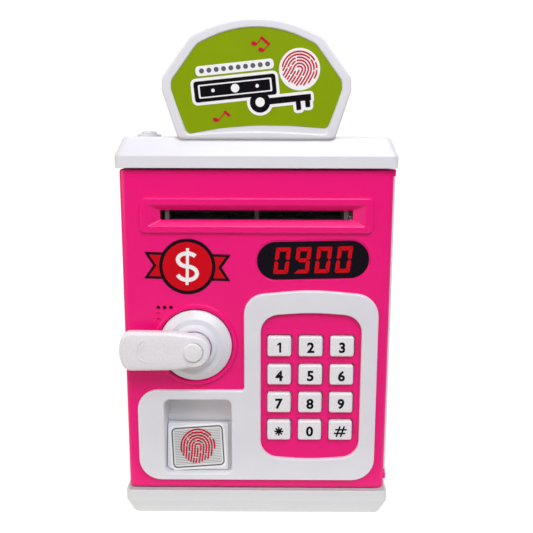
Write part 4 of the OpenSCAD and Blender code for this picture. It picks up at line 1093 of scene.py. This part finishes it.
# ---------- inner parts ----------
SOFT = {
    "hinge_pins": (steel, "steel", 0.15), "case_screws": (steel, "steel", 0.2),
    "lid_switch_board": (board, "board", 0.1), "inner_cover": (grey_abs, "grey_abs", 0.4),
    "battery_door": (grey_abs, "grey_abs", 0.25), "battery_contacts": (steel, "steel", 0.06),
    "cover_screws": (steel, "steel", 0.3), "power_switch": (dark_abs, "dark_abs", 0.25),
    "speaker": (steel, "steel", 0.3), "speaker_cone": (dark_abs, "dark_abs", 0.05),
    "keypad_membrane": (silicone, "silicone", 0.2), "keypad_board": (board, "board", 0.1),
    "main_board": (board, "board", 0.1), "finger_switch_board": (board, "board", 0.1),
    "feeder_frame": (smoke_abs, "grey_abs", 0.2), "feed_motor": (steel, "steel", 0.3),
    "motor_pinion": (natural_nylon, "natural_nylon", 0.08), "drive_shaft": (steel, "steel", 0.2),
    "drive_rollers": (rubber, "rubber", 0.4), "drive_gear": (natural_nylon, "natural_nylon", 0.08),
    "pinch_shaft": (steel, "steel", 0.2), "pinch_rollers": (rubber, "rubber", 0.4),
    "lock_solenoid": (dark_abs, "dark_abs", 0.3), "lock_plunger": (steel, "steel", 0.3),
    "spindle": (steel, "steel", 0.3), "lock_disc": (natural_nylon, "natural_nylon", 0.25),
    "latch_cam": (natural_nylon, "natural_nylon", 0.3), "cam_screw": (steel, "steel", 0.3),
    "cells": (cell_sleeve, "cell_wrap", 0.3),
}
for name, (material, slot_name, width) in SOFT.items():
    softened(name, material, width)

# ---------- floor, light and camera ----------
# Seamless studio board: matt white, with a painted glow (emission, not a lamp) from just in front of the bank
# to the back.
paper = finish("studio_board_painted_glow", "#ADAAA6", "#B0ADA9", 0.8, {"IOR": 1.45, "Emission Color": (1, 1, 1, 1)},
               patch_mm=300, grain_mm=4)
tree = paper.node_tree
spot = node(tree, "ShaderNodeSeparateXYZ", None, {0: node(tree, "ShaderNodeTexCoord").outputs["Object"]})
# Where each part of the painted glow starts and is full, in metres of depth, and how strong it is; no glow
# right in front of the bank
PAINTED_GLOW = [(-0.1, -0.078, 0.7), (0.1, 0.7, 0.12)]
ramps = [node(tree, "ShaderNodeMapRange", {
    "From Min": first, "From Max": full, "To Min": 0.0, "To Max": level, "interpolation_type": "SMOOTHSTEP"},
    {0: spot.outputs[1]}) for first, full, level in PAINTED_GLOW]
glow = node(tree, "ShaderNodeMath", {"operation": "ADD"}, {0: ramps[0].outputs[0], 1: ramps[1].outputs[0]})
shader = next(n for n in tree.nodes if n.type == "BSDF_PRINCIPLED")
# Painted glow: the floor's emission strength follows its depth
tree.links.new(glow.outputs[0], shader.inputs["Emission Strength"])
sweep_r, near, far, tall, half = 600.0, -1500.0, 1300.0, 2400.0, 2400.0
profile = [(near, 0)]
profile += [(far + sweep_r * math.sin(a), sweep_r * (1 - math.cos(a))) for a in
            (math.pi / 2 * k / 12 for k in range(13))]
profile.append((far + sweep_r, tall))
bm = bmesh.new()
sides = [[bm.verts.new((x * MM, y * MM, z * MM)) for y, z in profile] for x in (-half, half)]
for i in range(len(profile) - 1):
    bm.faces.new((sides[0][i], sides[1][i], sides[1][i + 1], sides[0][i + 1]))
mesh = bpy.data.meshes.new("studio_floor")
bm.to_mesh(mesh)
bm.free()
mesh.shade_smooth()
floor = bpy.data.objects.new("studio_floor", mesh)
floor.data.materials.append(paper)
bpy.context.scene.collection.objects.link(floor)

world = bpy.data.worlds.new("studio_air")
world.use_nodes = True
air = next(n for n in world.node_tree.nodes if n.type == "BACKGROUND")
air.inputs[0].default_value = linear("#FFEEDC")
air.inputs[1].default_value = 0.24
bpy.context.scene.world = world
bpy.context.scene.view_settings.view_transform = "Standard"


def softbox(name, at, aim, size, power, colour="#FFFFFF"):
    light = bpy.data.lights.new(name, "AREA")
    light.shape = "RECTANGLE"
    light.size, light.size_y = size[0] * MM, size[1] * MM
    light.energy = power
    light.color = linear(colour)[:3]
    obj = bpy.data.objects.new(name, light)
    obj.location = Vector(at) * MM
    obj.rotation_euler = (Vector(aim) - Vector(at)).to_track_quat("-Z", "Y").to_euler()
    bpy.context.scene.collection.objects.link(obj)


centre = (0, 0, lid_top / 2)
softbox("key_softbox", (220, -680, 860), centre, (800, 500), 9.0, "#F0F3FF")
softbox("left_softbox", (-700, -500, 300), centre, (500, 500), 2.0, "#FFF4EA")
softbox("top_softbox", (0, -60, 1000), centre, (600, 500), 1.8, "#EEF3FF")

pitch, yaw, roll = math.radians(10.62), math.radians(0.28), math.radians(0.14)
eye = Vector((6.3, door_y - 324.2, 187.4))
ahead = Vector((-math.sin(yaw) * math.cos(pitch), math.cos(yaw) * math.cos(pitch), -math.sin(pitch)))
right = Vector((math.cos(yaw), math.sin(yaw), 0))
up = right.cross(ahead)
cam_right = right * math.cos(roll) + up * math.sin(roll)
cam_up = up * math.cos(roll) - right * math.sin(roll)
lens = bpy.data.cameras.new("studio_lens")
lens.lens = 47.25
lens.sensor_width = 36
lens.clip_start = 0.01
camera = bpy.data.objects.new("studio_camera", lens)
turn = Matrix((cam_right, cam_up, -ahead)).transposed()
camera.matrix_world = Matrix.Translation(eye * MM) @ turn.to_4x4()
bpy.context.scene.collection.objects.link(camera)
bpy.context.scene.camera = camera
